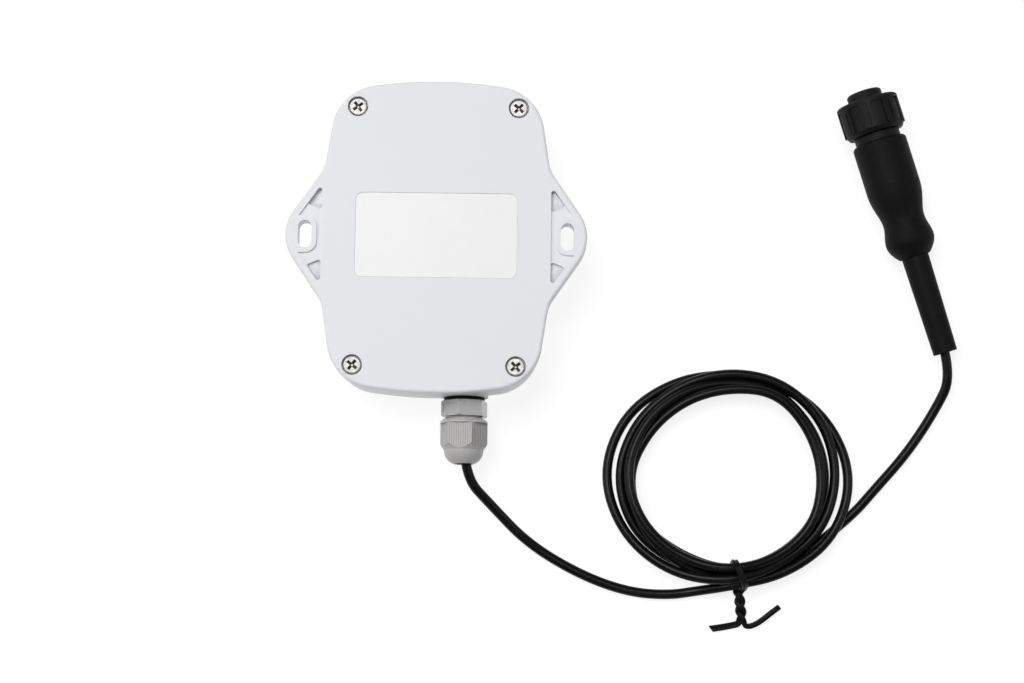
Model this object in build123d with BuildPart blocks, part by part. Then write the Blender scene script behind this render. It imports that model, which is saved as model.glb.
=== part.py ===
from build123d import *
import math
import os

# Leak detection sensor, laid on its front face with the back cover up.
# The origin is on the floor, under the middle of the housing. X runs across
# the two ears, Y up the housing, away from the cable gland, and Z out of its back.

# General clearances
overrun = 1.0  # how far a cut runs past what it cuts
arc_share = 0.45  # of the shorter run beside a corner, for the arc that rounds it
slip_gap = 0.05  # between a piece and the seat that it slides into
thread_gap = 0.1  # between a plain thread and its nut
turning_gap = 0.3  # around the ring that turns
match_tolerance = 0.01  # for picking out a corner by its place

# Housing
housing_length = 105.7
housing_width = 71.5
housing_thickness = 27.5
end_arc_radius = 150.0
corner_radius = 16.7
cover_rim_height = 6.0
cover_plate = 2.5
back_edge_radius = 1.0
shell_wall = 2.4
shell_front = 2.2
shell_draft = 3.0
front_edge_radius = 8.0
seam_height = housing_thickness - cover_rim_height

# Ears of the back cover
shoulder_overhang = 2.0
shoulder_height = 45.4
shoulder_radius = 11.0
flare_angle = 8.65
ear_reach = 12.55
ear_tip_radius = 14.1
ear_rim = 2.6
pocket_shoulder_gap = 0.45
pocket_depth = 0.8
pocket_corner_radius = 1.0
slot_tip_inset = 6.6
slot_width = 4.5
slot_length = 9.25
slot_boss_rim = 1.65
strap_hole_start = 8.3
strap_hole_slope = 22.4
strap_hole_radius = 0.8

# Cover screws, their bosses and inserts
screw_inset_x = 8.75
screw_inset_y = 9.05
screw_head_radius = 3.0
screw_head_height = 2.1
screw_head_dome = 0.5
screw_shank_radius = 1.45
screw_length = 9.0
screw_hole_radius = 1.7
screw_recess_width = 1.0
screw_recess_length = 3.9
screw_recess_depth = 1.1
screw_recess_turns = (52.0, 41.0, 47.0, 37.0)  # one a screw, as each came to rest
counterbore_radius = 3.45
counterbore_depth = 2.5
cover_boss_radius = 4.2
shell_boss_radius = 3.6
insert_radius = 2.1
insert_bore_radius = 1.5
insert_length = 6.0
insert_hole_depth = 8.0

# Gasket between the two halves
gasket_width = 1.2
gasket_depth = 1.5
gasket_edge = 0.7

# Label in its shallow recess
label_width = 54.0
label_height = 28.8
label_corner_radius = 2.5
label_recess_depth = 0.3
label_thickness = 0.2
label_gap = 0.15

# Cable gland
gland_x = 10.0
gland_z = 13.0
gland_face_inset = 0.25
gland_pad_radius = 8.0
gland_wall = 4.0
gland_thread_radius = 5.9
gland_thread_inside = 9.5
gland_thread_outside = 6.5
gland_bore_radius = 3.4
washer_radius = 6.8
washer_thickness = 1.2
body_hex_flats = 14.0
body_hex_length = 5.3
body_hex_turn = 42.0
hex_panel_face = 1
hex_corner_chamfer = 0.5
hex_panel_length = 3.1
hex_panel_width = 6.5
hex_panel_depth = 0.3
nut_gap = 0.9
nut_radius = 7.95
nut_hex_flats = 14.0
nut_hex_turn = 10.0
nut_corner_trim = 0.05
nut_length = 14.8
nut_collar = 1.4
nut_collar_bevel = 0.8
nut_straight_length = 8.2
nut_dome_radius = 6.65
nut_dome_start = 10.3
nut_mouth_radius = 3.1
nut_thread_depth = 8.6
nut_grooves = 10
nut_groove_pitch = 0.78
nut_groove_width = 0.3
nut_groove_depth = 0.2
locknut_flats = 15.0
locknut_thickness = 4.5
seal_radius = 4.6
seal_lip = 0.4
seal_flare_length = 6.5
seal_mouth_radius = 2.75

# Cable
cable_radius = 1.65
jacket_end_inside = 2.0
core_radius = 0.5
core_spacing = 1.1
core_exit = 2.0

# Coil and its tie
coil_x = 99.3
coil_y = -76.6
coil_length = 84.6
coil_width = 72.2
coil_hole_x = 98.6
coil_hole_y = -77.6
coil_hole_length = 61.2
coil_hole_width = 57.6
coil_height = 9.2
coil_edge_radius = 1.5
coil_shoulder_radius = 3.6
tie_radius = 1.1
tie_x = 102.9
tie_y = -110.0
tie_lean = 14.0
tie_loop_width = 10.4
tie_loop_corner = 2.0
tie_loop_gap = 0.15
tie_edge_radius = 0.8
tie_stem_length = 10.6
tie_stem_pitch = 6.2
tie_stem_radius = 1.0
tie_stem_lean = -4.0
tie_short_reach = 10.0
tie_long_reach = 12.8

# Plug on the end of the cable
plug_tip_x = 145.3
plug_tip_y = 55.2
plug_tip_z = 11.6
plug_heading = -72.8
plug_tilt = 3.0
plug_length = 93.6
plug_exit_run = 8.0
barrel_radius = 6.0
barrel_lip = 0.6
barrel_land = 2.2
barrel_relief = 0.3
ring_start = 3.4
ring_length = 11.7
ring_radius = 10.6
ring_thread_radius = 8.8
ring_front_chamfer = 0.5
ring_rear_chamfer = 1.3
ring_lip = 2.0
ring_band = 1.75
grip_count = 8
grip_turn = 18.3
grip_width = 4.0
grip_height = 0.5
grip_corner = 0.8
grip_groove_width = 0.45
grip_groove_depth = 0.35
grip_groove_offset = 0.6
grip_groove_margin = 0.9
flange_thickness = 1.5
neck_radius = 6.7
shoulder_step = 1.1
boot_start = 17.9
boot_wall = 1.3
boot_edge_radius = 1.2
boot_front_radius = 9.3
boot_front_end = 34.5
boot_waist_radius = 7.3
boot_waist = 47.7
boot_bulge_radius = 8.35
boot_bulge = 53.9
boot_end = 59.3
sleeve_start = 42.0
sleeve_front_radius = 4.6
sleeve_end_radius = 4.1
sleeve_bore_depth = 5.0
contact_circle_radius = 3.0
contact_count = 4
contact_radius = 0.95
contact_bore_radius = 0.5
contact_length = 9.0
contact_recess = 0.8
o_ring_section_radius = 0.8

# Inside the housing
board_left = -9.0
board_right = 30.5
board_bottom_inset = 16.85
board_top_inset = 15.85
board_thickness = 1.6
board_height = 6.2
board_corner_radius = 2.0
board_hole_inset = 3.6
board_hole_radius = 1.3
board_post_radius = 2.8
board_screw_radius = 1.1
board_screw_head_radius = 2.1
board_screw_head_height = 1.4
board_screw_length = 5.0
battery_radius = 9.25
battery_length = 50.5
battery_x = -21.0
battery_inset = 33.0
battery_cap_radius = 3.2
battery_cap_height = 1.2
battery_bead = 0.6
saddle_thickness = 2.0
saddle_spacing = 32.0
saddle_width = 14.0
battery_wire_radius = 0.6
battery_wire_reach = 5.0
battery_wire_spacing = 2.2
battery_plug_width = 6.0
battery_plug_length = 5.5
battery_plug_height = 5.0
battery_plug_x = -4.0
battery_plug_inset = 12.0
module_width = 16.0
module_length = 20.0
module_base = 0.8
module_can_height = 2.2
module_can_inset = 1.2
module_x = 12.0
module_y = 8.0
antenna_length = 26.0
antenna_height = 7.0
antenna_thickness = 0.6
antenna_leg = 2.0
antenna_x = 2.0
antenna_inset = 8.0
antenna_bar = 3.0
antenna_feed = 6.0
block_pitch = 3.5
block_ways = 3
block_depth = 6.6
block_height = 8.2
core_reach = 10.8
block_end_wall = 0.8
block_mouth_radius = 1.1
block_screw_radius = 1.2
block_screw_depth = 1.4
block_screw_slot = 0.5
led_radius = 1.5
led_height = 3.2
led_rim = 0.3
led_x = 24.0
led_inset = 15.0

# Working values
shoulder_width = housing_width + 2 * shoulder_overhang
ear_span = shoulder_width + 2 * ear_reach
pocket_span = shoulder_width + 2 * pocket_shoulder_gap
slot_spacing = ear_span - 2 * slot_tip_inset
gland_face = housing_length / 2 - gland_face_inset
seat_height = housing_thickness - counterbore_depth
board_top_face = board_height + board_thickness
half_x = housing_width / 2 - screw_inset_x
half_y = housing_length / 2 - screw_inset_y
screw_points = [(-half_x, -half_y), (half_x, -half_y), (half_x, half_y), (-half_x, half_y)]
slot_points = [(-slot_spacing / 2, 0), (slot_spacing / 2, 0)]
slot_boss_width = slot_width + 2 * slot_boss_rim
slot_boss_length = slot_length + 2 * slot_boss_rim
board_bottom = board_bottom_inset - housing_length / 2
board_top = housing_length / 2 - board_top_inset
board_x = (board_left + board_right) / 2
board_y = (board_bottom + board_top) / 2
board_width = board_right - board_left
board_length = board_top - board_bottom
post_x = board_width / 2 - board_hole_inset
post_y = board_length / 2 - board_hole_inset
post_points = [
    (board_x - post_x, board_y - post_y),
    (board_x + post_x, board_y - post_y),
    (board_x + post_x, board_y + post_y),
    (board_x - post_x, board_y + post_y),
]
battery_z = shell_front + battery_radius + saddle_thickness / 2
battery_y = board_top - battery_inset
battery_foot = battery_y - battery_length / 2
battery_plug_y = board_top - battery_plug_inset
antenna_y = board_top - antenna_inset
led_y = board_top - led_inset
jacket_end = gland_thread_inside + jacket_end_inside - gland_face
block_y = jacket_end + core_reach + block_depth / 2


def finish(piece, label):
    """Names a finished piece and writes it."""
    piece.part.label = label
    export_step(piece.part, f"parts/{label}.step")


def trim_ends():
    """Keeps what lies between the two gentle arcs at the ends of the housing."""
    for side in (-1, 1):
        with Locations((0, side * (housing_length / 2 - end_arc_radius))):
            Circle(end_arc_radius, mode=Mode.INTERSECT)


def route_radii(points):
    """The largest tangent arc at each inner point of a cable's route."""
    corners = [Vector(*point) for point in points]
    radii = []
    for before, here, after in zip(corners, corners[1:], corners[2:]):
        turn = math.radians((here - before).get_angle(after - here))
        shorter = min((here - before).length, (after - here).length)
        radii.append(arc_share * shorter / math.tan(turn / 2))
    return radii


def tube_along(points, section_radius):
    """A round tube along straight runs joined by tangent arcs."""
    radii = route_radii(points)
    with BuildPart() as tube:
        with BuildLine() as path:
            FilletPolyline(*points, radius=radii)
        route = path.wire()
        with BuildSketch(Plane(origin=route @ 0, z_dir=route % 0)):
            Circle(section_radius)
        sweep(path=route)
    print("radii", [round(radius, 1) for radius in radii], "length", round(route.length, 1))
    section_area = math.pi * section_radius**2
    print("volume", round(tube.part.volume), "of", round(section_area * route.length))
    return tube


os.makedirs("parts", exist_ok=True)

# Outlines of the housing
with BuildSketch() as shell_outline:
    Rectangle(housing_width, housing_length)
    trim_ends()
    fillet(shell_outline.vertices(), corner_radius)

with BuildSketch() as shell_inside:
    add(shell_outline.sketch)
    offset(amount=-shell_wall, mode=Mode.REPLACE)

with BuildSketch() as ear_web:
    with Locations(
        (ear_span / 2 - ear_tip_radius, 0),
        (ear_tip_radius - ear_span / 2, 0),
    ):
        Circle(ear_tip_radius)
    Rectangle(shoulder_width, shoulder_height)
    make_hull()

flare = (housing_length - shoulder_height) / 2 * math.tan(math.radians(flare_angle))
with BuildSketch() as cover_outline:
    with BuildLine():
        Polyline(
            (shoulder_width / 2, shoulder_height / 2),
            (shoulder_width / 2 - flare, housing_length / 2),
            (flare - shoulder_width / 2, housing_length / 2),
            (-shoulder_width / 2, shoulder_height / 2),
            (-shoulder_width / 2, -shoulder_height / 2),
            (flare - shoulder_width / 2, -housing_length / 2),
            (shoulder_width / 2 - flare, -housing_length / 2),
            (shoulder_width / 2, -shoulder_height / 2),
            close=True,
        )
    make_face()
    trim_ends()
    corners = cover_outline.vertices().filter_by(
        lambda corner: abs(corner.Y) > housing_length / 2 - corner_radius
    )
    fillet(corners, corner_radius)
    add(ear_web.sketch)
    shoulders = cover_outline.vertices().filter_by(
        lambda corner: abs(abs(corner.Y) - shoulder_height / 2) < match_tolerance
    )
    fillet(shoulders, shoulder_radius)

# What the ears have cut into them: a shallow pocket around each slot's boss,
# with an opening right through at both of its pointed ends
with BuildSketch() as ear_pockets:
    add(ear_web.sketch)
    offset(amount=-ear_rim, mode=Mode.REPLACE)
    Rectangle(pocket_span, housing_length, mode=Mode.SUBTRACT)
    with Locations(*slot_points):
        SlotOverall(slot_boss_length, slot_boss_width, rotation=90, mode=Mode.SUBTRACT)
    with Locations((slot_spacing / 2, 0)):
        Rectangle(ear_span, slot_boss_length, align=(Align.MIN, Align.CENTER), mode=Mode.SUBTRACT)
    with Locations((-slot_spacing / 2, 0)):
        Rectangle(ear_span, slot_boss_length, align=(Align.MAX, Align.CENTER), mode=Mode.SUBTRACT)
    points = ear_pockets.vertices().filter_by(lambda corner: abs(corner.Y) > slot_boss_length)
    fillet(points, pocket_corner_radius)

strap_rise = (ear_span - pocket_span) / 2 * math.tan(math.radians(strap_hole_slope))
strap_outer = strap_hole_start + strap_rise
with BuildSketch() as strap_holes:
    add(ear_web.sketch)
    offset(amount=-ear_rim, mode=Mode.REPLACE)
    Rectangle(pocket_span, housing_length, mode=Mode.SUBTRACT)
    Polygon(
        (-ear_span / 2, strap_outer),
        (-pocket_span / 2, strap_hole_start),
        (pocket_span / 2, strap_hole_start),
        (ear_span / 2, strap_outer),
        (ear_span / 2, -strap_outer),
        (pocket_span / 2, -strap_hole_start),
        (-pocket_span / 2, -strap_hole_start),
        (-ear_span / 2, -strap_outer),
        mode=Mode.SUBTRACT,
    )
    fillet(strap_holes.vertices(), strap_hole_radius)

# Back cover with its two ears
with BuildPart() as back_cover:
    with BuildSketch(Plane.XY.offset(seam_height)):
        add(cover_outline.sketch)
    extrude(amount=cover_rim_height)
    fillet(back_cover.faces().sort_by(Axis.Z)[-1].edges(), back_edge_radius)
    with BuildSketch(Plane.XY.offset(seam_height)):
        add(shell_inside.sketch)
        with Locations(*screw_points):
            Circle(cover_boss_radius, mode=Mode.SUBTRACT)
    extrude(amount=cover_rim_height - cover_plate, mode=Mode.SUBTRACT)
    with BuildSketch(Plane.XY.offset(housing_thickness)):
        add(ear_pockets.sketch)
    extrude(amount=-pocket_depth, mode=Mode.SUBTRACT)
    with BuildSketch(Plane.XY.offset(housing_thickness)):
        add(strap_holes.sketch)
        with Locations(*slot_points):
            SlotOverall(slot_length, slot_width, rotation=90)
    extrude(amount=-(cover_rim_height + overrun), mode=Mode.SUBTRACT)
    with BuildSketch(Plane.XY.offset(housing_thickness)):
        RectangleRounded(label_width, label_height, label_corner_radius)
    extrude(amount=-label_recess_depth, mode=Mode.SUBTRACT)
    with Locations(*[(x, y, housing_thickness) for x, y in screw_points]):
        CounterBoreHole(screw_hole_radius, counterbore_radius, counterbore_depth)
finish(back_cover, "back_cover")

# Room inside the front shell, with the screw bosses and board posts left standing
with BuildPart() as shell_room:
    with BuildSketch(Plane.XY.offset(seam_height)):
        add(shell_inside.sketch)
    extrude(amount=seam_height - shell_front, dir=(0, 0, -1), taper=shell_draft)
    fillet(shell_room.faces().sort_by(Axis.Z)[0].edges(), front_edge_radius - shell_wall)
    with BuildSketch():
        with Locations(*screw_points):
            Circle(shell_boss_radius)
    extrude(amount=seam_height + overrun, mode=Mode.SUBTRACT)
    with BuildSketch():
        with Locations(*post_points):
            Circle(board_post_radius)
    extrude(amount=board_height, mode=Mode.SUBTRACT)

# Cable gland's own frame: its Z runs out of the housing along the cable
gland_wall_plane = Plane(origin=(gland_x, -gland_face, gland_z), x_dir=(1, 0, 0), z_dir=(0, -1, 0))
gland_side = Plane(origin=(gland_x, -gland_face, gland_z), x_dir=(0, -1, 0), z_dir=(1, 0, 0))
gland_axis = Axis((gland_x, -gland_face, gland_z), (0, -1, 0))

# Front shell
with BuildPart() as front_shell:
    with BuildSketch(Plane.XY.offset(seam_height)):
        add(shell_outline.sketch)
    extrude(amount=seam_height, dir=(0, 0, -1), taper=shell_draft)
    fillet(front_shell.faces().sort_by(Axis.Z)[0].edges(), front_edge_radius)
    add(shell_room.part, mode=Mode.SUBTRACT)
    with BuildSketch(gland_wall_plane):
        Circle(gland_pad_radius)
    extrude(amount=-gland_wall)
    with BuildSketch(gland_wall_plane.offset(overrun)):
        Circle(gland_thread_radius + thread_gap)
    extrude(amount=-(gland_wall + 2 * overrun), mode=Mode.SUBTRACT)
    with BuildSketch(Plane.XY.offset(seam_height)):
        offset(shell_outline.sketch, amount=-gasket_edge)
        offset(shell_outline.sketch, amount=-(gasket_edge + gasket_width), mode=Mode.SUBTRACT)
    extrude(amount=-gasket_depth, mode=Mode.SUBTRACT)
    with Locations(*[(x, y, seam_height) for x, y in screw_points]):
        Hole(insert_radius, depth=insert_length)
        Hole(screw_hole_radius, depth=insert_hole_depth)
    with Locations(*[(x, y, board_height) for x, y in post_points]):
        Hole(board_screw_radius, depth=board_screw_length - board_thickness)
    # Two saddles under the battery
    with BuildSketch(Plane.XY.offset(shell_front)):
        with Locations(
            (battery_x, battery_y - saddle_spacing / 2),
            (battery_x, battery_y + saddle_spacing / 2),
        ):
            Rectangle(saddle_width, saddle_thickness)
    extrude(amount=battery_z - shell_front - battery_radius / 2)
    with BuildSketch(Plane.XZ.offset(-battery_y - battery_length / 2)):
        with Locations((battery_x, battery_z)):
            Circle(battery_radius + slip_gap)
    extrude(amount=battery_length, mode=Mode.SUBTRACT)
finish(front_shell, "front_shell")

# Gasket in the groove of the front shell
with BuildPart() as cover_gasket:
    with BuildSketch(Plane.XY.offset(seam_height - gasket_depth)):
        offset(shell_outline.sketch, amount=-(gasket_edge + slip_gap))
        offset(
            shell_outline.sketch,
            amount=-(gasket_edge + gasket_width - slip_gap),
            mode=Mode.SUBTRACT,
        )
    extrude(amount=gasket_depth)
finish(cover_gasket, "cover_gasket")

# Four cross-head screws in the cover's counterbores
with BuildPart() as cover_screws:
    with BuildSketch(Plane.XY.offset(seat_height)):
        with Locations(*screw_points):
            Circle(screw_head_radius)
    extrude(amount=screw_head_height)
    fillet(cover_screws.faces().filter_by(Plane.XY).group_by(Axis.Z)[-1].edges(), screw_head_dome)
    with BuildSketch(Plane.XY.offset(seat_height)):
        with Locations(*screw_points):
            Circle(screw_shank_radius)
    extrude(amount=-screw_length)
    with BuildSketch(Plane.XY.offset(seat_height + screw_head_height)):
        for point, turn in zip(screw_points, screw_recess_turns):
            with Locations(point):
                Rectangle(screw_recess_length, screw_recess_width, rotation=turn)
                Rectangle(screw_recess_width, screw_recess_length, rotation=turn)
    extrude(amount=-screw_recess_depth, mode=Mode.SUBTRACT)
finish(cover_screws, "cover_screws")

# Brass inserts that the screws turn into
with BuildPart() as threaded_inserts:
    with BuildSketch(Plane.XY.offset(seam_height)):
        with Locations(*screw_points):
            Circle(insert_radius - slip_gap)
            Circle(insert_bore_radius, mode=Mode.SUBTRACT)
    extrude(amount=-insert_length)
finish(threaded_inserts, "threaded_inserts")

# Label
with BuildPart() as label_plate:
    with BuildSketch(Plane.XY.offset(housing_thickness - label_recess_depth)):
        RectangleRounded(
            label_width - 2 * label_gap,
            label_height - 2 * label_gap,
            label_corner_radius - label_gap,
        )
    extrude(amount=label_thickness)
finish(label_plate, "label_plate")

# Gland washer
with BuildPart() as gland_washer:
    with BuildSketch(gland_wall_plane):
        Circle(washer_radius)
        Circle(gland_thread_radius + thread_gap, mode=Mode.SUBTRACT)
    extrude(amount=washer_thickness)
finish(gland_washer, "gland_washer")

# Gland body: a threaded tube with a hexagon that bears on the washer
hex_foot = washer_thickness
hex_end = hex_foot + body_hex_length
hex_corner = body_hex_flats / 2 / math.cos(math.pi / 6)
panel_turn = math.radians(body_hex_turn + 30 + hex_panel_face * 60)
panel_outward = Vector(math.cos(panel_turn), 0, math.sin(panel_turn))
hex_panel_plane = Plane(
    origin=Vector(gland_x, -gland_face - hex_foot - body_hex_length / 2, gland_z)
    + panel_outward * (body_hex_flats / 2 - hex_panel_depth),
    x_dir=(0, -1, 0),
    z_dir=panel_outward,
)
with BuildPart() as gland_body:
    with BuildSketch(gland_wall_plane.offset(-gland_thread_inside)):
        Circle(gland_thread_radius)
    extrude(amount=gland_thread_inside + hex_end + gland_thread_outside)
    with BuildSketch(gland_wall_plane.offset(hex_foot)):
        RegularPolygon(
            body_hex_flats / 2, side_count=6, major_radius=False, rotation=body_hex_turn
        )
    extrude(amount=body_hex_length)
    # One face has a shallow sunk panel
    with BuildSketch(hex_panel_plane):
        Rectangle(hex_panel_length, hex_panel_width)
    extrude(amount=hex_panel_depth + overrun, mode=Mode.SUBTRACT)
    # The corners of the hexagon are turned off at both ends
    with BuildSketch(gland_side):
        with BuildLine():
            Polyline(
                (hex_foot, hex_corner - hex_corner_chamfer),
                (hex_foot + hex_corner_chamfer, hex_corner),
                (hex_end - hex_corner_chamfer, hex_corner),
                (hex_end, hex_corner - hex_corner_chamfer),
                (hex_end, hex_corner + overrun),
                (hex_foot, hex_corner + overrun),
                close=True,
            )
        make_face()
    revolve(axis=gland_axis, mode=Mode.SUBTRACT)
    with BuildSketch(gland_wall_plane.offset(-gland_thread_inside - overrun)):
        Circle(gland_bore_radius)
    extrude(amount=gland_thread_inside + hex_end + overrun, mode=Mode.SUBTRACT)
    # The seal sits in the wider mouth
    with BuildSketch(gland_wall_plane.offset(hex_end)):
        Circle(seal_radius)
    extrude(amount=gland_thread_outside + overrun, mode=Mode.SUBTRACT)
finish(gland_body, "gland_body")

# Dome nut: turned from a round, with six flats cut between collar and dome
nut_start = hex_end + nut_gap
nut_end = nut_start + nut_length
nut_groove_length = nut_dome_start - nut_collar
nut_corner = nut_hex_flats / 2 / math.cos(math.pi / 6) - nut_corner_trim
nut_flat_planes = []
for face in range(6):
    turn = math.radians(nut_hex_turn + 30 + face * 60)
    outward = Vector(math.cos(turn), 0, math.sin(turn))
    nut_flat_planes.append(
        Plane(
            origin=Vector(gland_x, -gland_face - nut_start - nut_collar, gland_z)
            + outward * (nut_hex_flats / 2 - nut_groove_depth),
            x_dir=(0, -1, 0),
            z_dir=outward,
        )
    )
with BuildPart() as gland_nut:
    with BuildSketch(gland_side):
        with BuildLine():
            Line((nut_start, 0), (nut_start, nut_radius - nut_collar_bevel))
            Line(
                (nut_start, nut_radius - nut_collar_bevel),
                (nut_start + nut_collar_bevel, nut_radius),
            )
            Polyline(
                (nut_start + nut_collar_bevel, nut_radius),
                (nut_start + nut_collar, nut_radius),
                (nut_start + nut_collar, nut_corner),
                (nut_start + nut_straight_length, nut_corner),
                (nut_start + nut_dome_start, nut_dome_radius),
            )
            TangentArc(
                (nut_start + nut_dome_start, nut_dome_radius),
                (nut_end, nut_mouth_radius + seal_lip),
                tangent=(1, 0),
            )
            Line((nut_end, nut_mouth_radius + seal_lip), (nut_end, 0))
            Line((nut_end, 0), (nut_start, 0))
        make_face()
    revolve(axis=gland_axis)
    with BuildSketch(gland_wall_plane.offset(nut_start + nut_collar)):
        Circle(nut_radius + overrun)
        RegularPolygon(
            nut_hex_flats / 2,
            side_count=6,
            major_radius=False,
            rotation=nut_hex_turn,
            mode=Mode.SUBTRACT,
        )
    extrude(amount=nut_length, mode=Mode.SUBTRACT)
    # Fine grip grooves run down every flat
    with BuildSketch(*nut_flat_planes):
        with GridLocations(0, nut_groove_pitch, 1, nut_grooves):
            Rectangle(nut_groove_length, nut_groove_width, align=(Align.MIN, Align.CENTER))
    extrude(amount=nut_groove_depth + overrun, mode=Mode.SUBTRACT)
    with BuildSketch(gland_wall_plane.offset(nut_start - overrun)):
        Circle(gland_thread_radius + thread_gap)
    extrude(amount=nut_thread_depth + overrun, mode=Mode.SUBTRACT)
    with BuildSketch(gland_wall_plane.offset(nut_start)):
        Circle(nut_mouth_radius)
    extrude(amount=nut_length + overrun, mode=Mode.SUBTRACT)
finish(gland_nut, "gland_nut")

# Rubber seal that the dome nut squeezes on to the cable, with a flared mouth
seal_end = nut_end - seal_lip
with BuildPart() as gland_seal:
    with BuildSketch(gland_wall_plane.offset(hex_end)):
        Circle(seal_radius - slip_gap)
    extrude(amount=nut_thread_depth + nut_gap - slip_gap)
    with BuildSketch(gland_wall_plane.offset(nut_start)):
        Circle(nut_mouth_radius - slip_gap)
    extrude(amount=nut_length - seal_lip)
    with BuildSketch(gland_side):
        with BuildLine():
            Polyline(
                (0, 0),
                (0, cable_radius + slip_gap),
                (seal_end - seal_flare_length, cable_radius + slip_gap),
                (seal_end, seal_mouth_radius),
                (nut_end, seal_mouth_radius),
                (nut_end, 0),
                close=True,
            )
        make_face()
    revolve(axis=gland_axis, mode=Mode.SUBTRACT)
finish(gland_seal, "gland_seal")

# Locknut inside the housing
with BuildPart() as gland_locknut:
    with BuildSketch(gland_wall_plane.offset(-gland_wall)):
        RegularPolygon(locknut_flats / 2, side_count=6, major_radius=False)
        Circle(gland_thread_radius + thread_gap, mode=Mode.SUBTRACT)
    extrude(amount=-locknut_thickness)
finish(gland_locknut, "gland_locknut")

# Plug frame: its X runs from the tip of the plug back along the cable
heading = math.radians(plug_heading)
tilt = math.radians(plug_tilt)
plug_tip = Vector(plug_tip_x, plug_tip_y, plug_tip_z)
plug_across = Vector(-math.sin(heading), math.cos(heading), 0)
plug_along = Vector(
    math.cos(heading) * math.cos(tilt),
    math.sin(heading) * math.cos(tilt),
    -math.sin(tilt),
)
plug_up = plug_across.cross(plug_along)
plug_side = Plane(origin=plug_tip, x_dir=plug_along, z_dir=plug_across)
plug_axis = Axis(plug_tip, plug_along)


def plug_section(distance):
    """The plane across the plug at a distance behind its tip."""
    return Plane(origin=plug_tip + plug_along * distance, x_dir=plug_across, z_dir=plug_along)


ring_end = ring_start + ring_length
flange_end = ring_end - ring_lip - turning_gap
body_shoulder = ring_end + turning_gap
boot_inner_radius = boot_front_radius - boot_wall

# Plug body: the barrel that enters the socket, the flange and neck that carry
# the ring, and the rear that the boot grips
with BuildPart() as plug_body:
    with BuildSketch(plug_side):
        with BuildLine():
            Polyline(
                (0, 0),
                (0, barrel_radius - barrel_lip),
                (barrel_lip, barrel_radius),
                (barrel_lip + barrel_land, barrel_radius),
                (barrel_lip + barrel_land, barrel_radius - barrel_relief),
                (flange_end - flange_thickness, barrel_radius - barrel_relief),
                (flange_end - flange_thickness, ring_thread_radius - turning_gap),
                (flange_end, ring_thread_radius - turning_gap),
                (flange_end, neck_radius),
                (body_shoulder, neck_radius),
                (body_shoulder, neck_radius + shoulder_step),
                (boot_start, neck_radius + shoulder_step),
                (boot_start, boot_inner_radius),
                (boot_front_end, boot_inner_radius),
                (boot_waist - boot_wall, boot_waist_radius - boot_wall),
                (boot_bulge - boot_wall, boot_bulge_radius - boot_wall),
                (boot_bulge + boot_wall, boot_bulge_radius - boot_wall),
                (boot_bulge + boot_wall, 0),
                close=True,
            )
        make_face()
    revolve(axis=plug_axis)
    with BuildSketch(plug_section(0)):
        with PolarLocations(contact_circle_radius, contact_count):
            Circle(contact_radius + slip_gap)
    extrude(amount=contact_length + contact_recess, mode=Mode.SUBTRACT)
    with BuildSketch(plug_section(sleeve_start)):
        Circle(sleeve_front_radius + slip_gap)
    extrude(amount=plug_length, mode=Mode.SUBTRACT)
finish(plug_body, "plug_body")

# Contact sockets in the face of the barrel
with BuildPart() as contact_sockets:
    with BuildSketch(plug_section(contact_recess)):
        with PolarLocations(contact_circle_radius, contact_count):
            Circle(contact_radius)
            Circle(contact_bore_radius, mode=Mode.SUBTRACT)
    extrude(amount=contact_length)
finish(contact_sockets, "contact_sockets")

# Sealing ring in front of the flange
o_ring_place = flange_end - flange_thickness - o_ring_section_radius
o_ring_seat = barrel_radius - barrel_relief
with BuildPart() as plug_o_ring:
    with BuildSketch(plug_side):
        with Locations((o_ring_place, o_ring_seat + o_ring_section_radius + slip_gap)):
            Circle(o_ring_section_radius)
    revolve(axis=plug_axis)
finish(plug_o_ring, "plug_o_ring")

# Coupling ring: turns on the neck and screws on to the socket. Raised grips run
# back from its front band, each with a groove along it
grip_start = ring_start + ring_band
grip_end = ring_end - ring_rear_chamfer
grip_planes = []
for count in range(grip_count):
    angle = math.radians(grip_turn) + 2 * math.pi * count / grip_count
    outward = plug_up * math.cos(angle) + plug_across * math.sin(angle)
    grip_planes.append(
        Plane(
            origin=plug_tip + plug_along * grip_start + outward * (ring_radius - 2 * grip_height),
            x_dir=plug_along,
            z_dir=outward,
        )
    )
with BuildPart() as ring_grips:
    with BuildSketch(*grip_planes) as grip_outline:
        Rectangle(grip_end - grip_start, grip_width, align=(Align.MIN, Align.CENTER))
        Rectangle(overrun, grip_width + 4 * grip_corner, align=(Align.MAX, Align.CENTER))
        ends = grip_outline.vertices().filter_by(
            lambda corner: abs(abs(corner.Y) - grip_width / 2) < match_tolerance
        )
        fillet(ends, grip_corner)
    extrude(amount=2 * grip_height + overrun)
    with BuildSketch(plug_side):
        with Locations((grip_start, 0)):
            Rectangle(grip_end - grip_start, ring_radius, align=(Align.MIN, Align.MIN))
    revolve(axis=plug_axis, mode=Mode.INTERSECT)
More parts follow.
